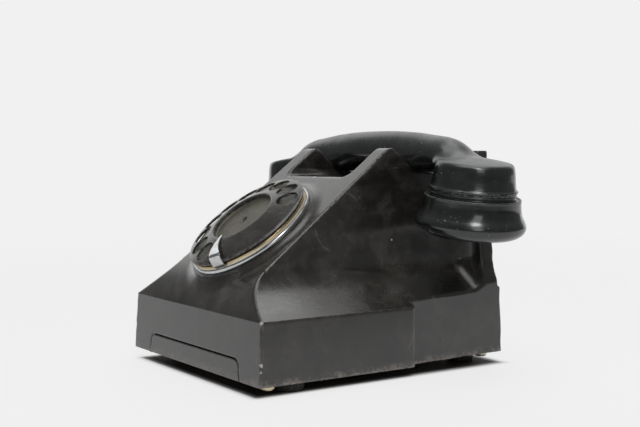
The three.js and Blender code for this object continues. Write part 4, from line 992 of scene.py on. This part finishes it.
makeBezel()
makeNumberRing()
makeFingerPlate()
makeLabelCup()
makeFingerStop()
print("stage: dial")


# Small fittings: screws, feet, plungers and grommets

def makeScrews():
    heads = []
    for x, y, angle in screwSpots:
        screw = turned("screw", [(0, 3.0), (2.4, 3.0), (3.5, 3.3, 0.5), (3.9, 4.1, 0.5), (3.9, 6.15, 0.15), (1.7, 6.2),
                                 (1.7, 21.8, 0.4), (0, 22.0)], 48, paleBrass)
        combine(screw, "DIFFERENCE", prism("slot", [(-0.5, 2), (0.5, 2), (0.5, 4.1), (-0.5, 4.1)], -6, 6, "y"))
        heads.append(moved(screw, at(x, y) @ Matrix.Rotation(angle, 4, "Z")))
    handOver(joined("slotted_screws", heads), 40, "base", "screw_brass", "case_screw_front_left",
             "case_screw_front_right", "case_screw_rear_left", "case_screw_rear_right")


makeScrews()
feet = roundParts("rubber_feet", [
    (0, 0.9), (2.6, 0.9, 0.4), (3.2, 0, 0.3), (7.1, 0, 0.6), (7.75, 0.7, 0.5), (8.0, 3.1, 1), (7.5, 6.2, 0.3),
    (2.6, 6.2), (2.6, 8.3), (4.1, 8.3, 0.3), (2.7, 10.8, 0.4), (0, 10.9)], 56, rubberBlack,
    [at(x, y) for x, y in ((-62, 27), (62, 27), (-48, 157), (48, 157))])
handOver(feet, 40, "base", "rubber", "foot_front_left", "foot_front_right", "foot_rear_left", "foot_rear_right")
plungers = roundParts("cradle_plungers", [
    (0, 97), (5.4, 97, 0.3), (5.4, 98.6, 0.3), (3.8, 98.6), (3.8, 111.6, 1.2), (2.2, 113.1, 0.8), (0, 113.2)],
    56, caseBakelite, [at(side * switch["reach"], switch["depth"]) for side in (-1, 1)])
handOver(plungers, 40, "cradle_switch", "case_bakelite", "plunger_left", "plunger_right")
grommets = roundParts("cord_grommets", [
    (3.3, -6.0, 0.3), (6.6, -6.0, 0.4), (6.6, -4.5, 0.4), (5.0, -4.2), (5.0, -1.6, 0.3), (4.6, -1.4, 0.2),
    (3.3, -1.9, 0.3)], 56, rubberBlack, [at(x, caseShape["depth"], inlets["z"]) @ turn(-90, "X") for x in inlets["x"]])
handOver(grommets, 40, "base", "rubber", "handset_cord_grommet", "line_cord_grommet")
print("stage: fittings")


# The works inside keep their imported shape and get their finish

insideFinish = {
    sheetSteel: ["base_plate", "drawer_tray", "drawer_runner_left", "drawer_runner_right", "dial_frame",
                 "dial_shaft", "governor_spindle", "return_spring_barrel", "ringer_yoke", "switch_bar",
                 "switch_bracket", "receiver_capsule", "transmitter_capsule", "capacitor"],
    clockBrass: ["dial_gear", "governor_pinion", "pulse_springs", "gong_post_left", "gong_post_right", "clapper",
                 "switch_springs"],
    gongSteel: ["gong_left", "gong_right"],
    copperWinding: ["ringer_coil_left", "ringer_coil_right", "induction_coil"],
    fibreBoard: ["terminal_block", "pulse_cam"],
    rubberBlack: ["handset_cord_bush"],
}
for material, names in insideFinish.items():
    for name in names:
        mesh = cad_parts[name].data
        mesh.materials.clear()
        mesh.materials.append(material)
print("stage: works inside")


# Floor, backdrop, light and camera

setting = {
    "floor": 0.88, "shade": (0.045, 0.038, 0.034, 1), "footprint": (0.0695, 0.085),
    "glow": 0.88, "under": 0.0, "beside": 0.86, "near": 0.3, "far": 1.1,
    "room": 0.18, "pale": 1.25, "wallSide": (-0.83, 0.55, 0.1), "wallFrom": 0.66, "wallFull": 0.78,
    "tableEdge": (0.45, 0.85), "beyondTable": 0.1,
}


def makeFloor():
    s = setting
    size = 12000
    floor = newPiece("floor", meshFrom("floor", [(-size, -size, 0), (size, -size, 0), (size, size, 0),
                                                 (-size, size, 0)], [(0, 1, 2, 3)]))
    f = Finish("pale table", **{"Roughness": 0.7, "Specular IOR Level": 0.2})
    glow, dim = (f.out("ShaderNodeEmission", {"Color": grey(s[label]), "Strength": 1.0})
                 for label in ("glow", "beyondTable"))
    camera, glossy, through = (f.out("ShaderNodeLightPath", pick=f"Is {kind} Ray")
                               for kind in ("Camera", "Glossy", "Transmission"))
    # the table glows least under the case, so that its contact shadow stays, and fully further out
    beyond = f.most(*(f.maths("SUBTRACT", f.maths("ABSOLUTE", f.part(axis)), half)
                      for axis, half in zip("XY", s["footprint"])))
    # painted shadow: inside the case's footprint the table's own colour turns dark brown
    paintedContactShadow = f.mixed(f.between(beyond, -0.004, 0.0015), s["shade"], grey(s["floor"]))
    f.tree.links.new(paintedContactShadow, f.shader.inputs["Base Color"])
    away = f.out("ShaderNodeVectorMath", {0: f.place}, "Value", operation="LENGTH")
    share = f.maths("ADD", f.between(beyond, 0.0, 0.005, s["under"], s["beside"]),
                    f.between(away, s["near"], s["far"], 0.0, 1.0 - s["beside"]), clamp=True)
    share = f.times(share, f.most(camera, glossy, through))
    shown = f.shaderMix(share, f.shader.outputs[0], glow)
    # past the table's right edge a polished side mirrors the dim room
    past = f.times(f.between(f.part("X"), *s["tableEdge"]), glossy)
    f.tree.links.new(f.shaderMix(past, shown, dim), f.surface)
    floor.data.materials.append(f.material)


def makeWorld():
    s = setting
    world = bpy.data.worlds.new("studio")
    scene.world = world
    world.use_nodes = True
    sky = Nodes(world.node_tree)
    ahead = sky.out("ShaderNodeTexCoord", pick="Generated")
    # brighter towards the pale wall behind the telephone
    wall = sky.out("ShaderNodeVectorMath", {0: ahead, 1: s["wallSide"]}, "Value", operation="DOT_PRODUCT")
    lift = sky.out("ShaderNodeMapRange", {0: wall, 1: s["wallFrom"], 2: s["wallFull"], 3: s["room"], 4: s["pale"]},
                   interpolation_type="SMOOTHSTEP")
    room = sky.out("ShaderNodeBackground", {0: grey(1.0), 1: lift})
    pale = sky.out("ShaderNodeBackground", {0: grey(s["glow"])})
    seen = sky.out("ShaderNodeLightPath", pick="Is Camera Ray")
    sky.node("ShaderNodeOutputWorld", {0: sky.shaderMix(seen, room, pale)})


# name: place and aim in metres, width and height, power in watts
lamps = {
    "window": ((-0.35, 0.7, 1.5), (0, 0, 0.08), (0.6, 0.55), 2.8),
    "overhead": ((0.25, -0.25, 1.9), (0, 0, 0.05), (1.5, 1.6), 17),
    "side lamp": ((1.2, -0.42, 1.35), (0, 0, 0.08), (0.42, 0.36), 6),
    "side window": ((1.55, -0.6, 0.85), (0, 0, 0.1), (0.55, 1.1), 3.4),
}


def makeLamps():
    for name, (place, aim, size, power) in lamps.items():
        light = bpy.data.lights.new(name, "AREA")
        light.shape, light.size, light.size_y, light.energy = "RECTANGLE", size[0], size[1], power
        holder = newPiece(name, light)
        holder.location = place
        holder.rotation_euler = (Vector(aim) - Vector(place)).to_track_quat("-Z", "Y").to_euler()


# solved from the picture's edges: place in metres, turn to the left, tilt down and roll in degrees, focal
# length and width of the picture in pixels
view = {"place": (0.566, -0.3696, 0.127), "azimuth": 56.776, "down": 3.21, "roll": -0.399, "focal": 1121.44,
        "across": 640}


def makeCamera():
    lens = bpy.data.cameras.new("camera")
    lens.sensor_width = 36
    lens.lens = view["focal"] * lens.sensor_width / view["across"]
    lens.clip_start = 0.01
    holder = newPiece("camera", lens)
    facing = turn(view["azimuth"], "Z") @ turn(90 - view["down"], "X") @ turn(view["roll"], "Z")
    holder.matrix_world = Matrix.Translation(view["place"]) @ facing
    scene.camera = holder


makeFloor()
makeWorld()
makeLamps()
makeCamera()
scene.view_settings.view_transform = "Standard"
print("stage: setting")
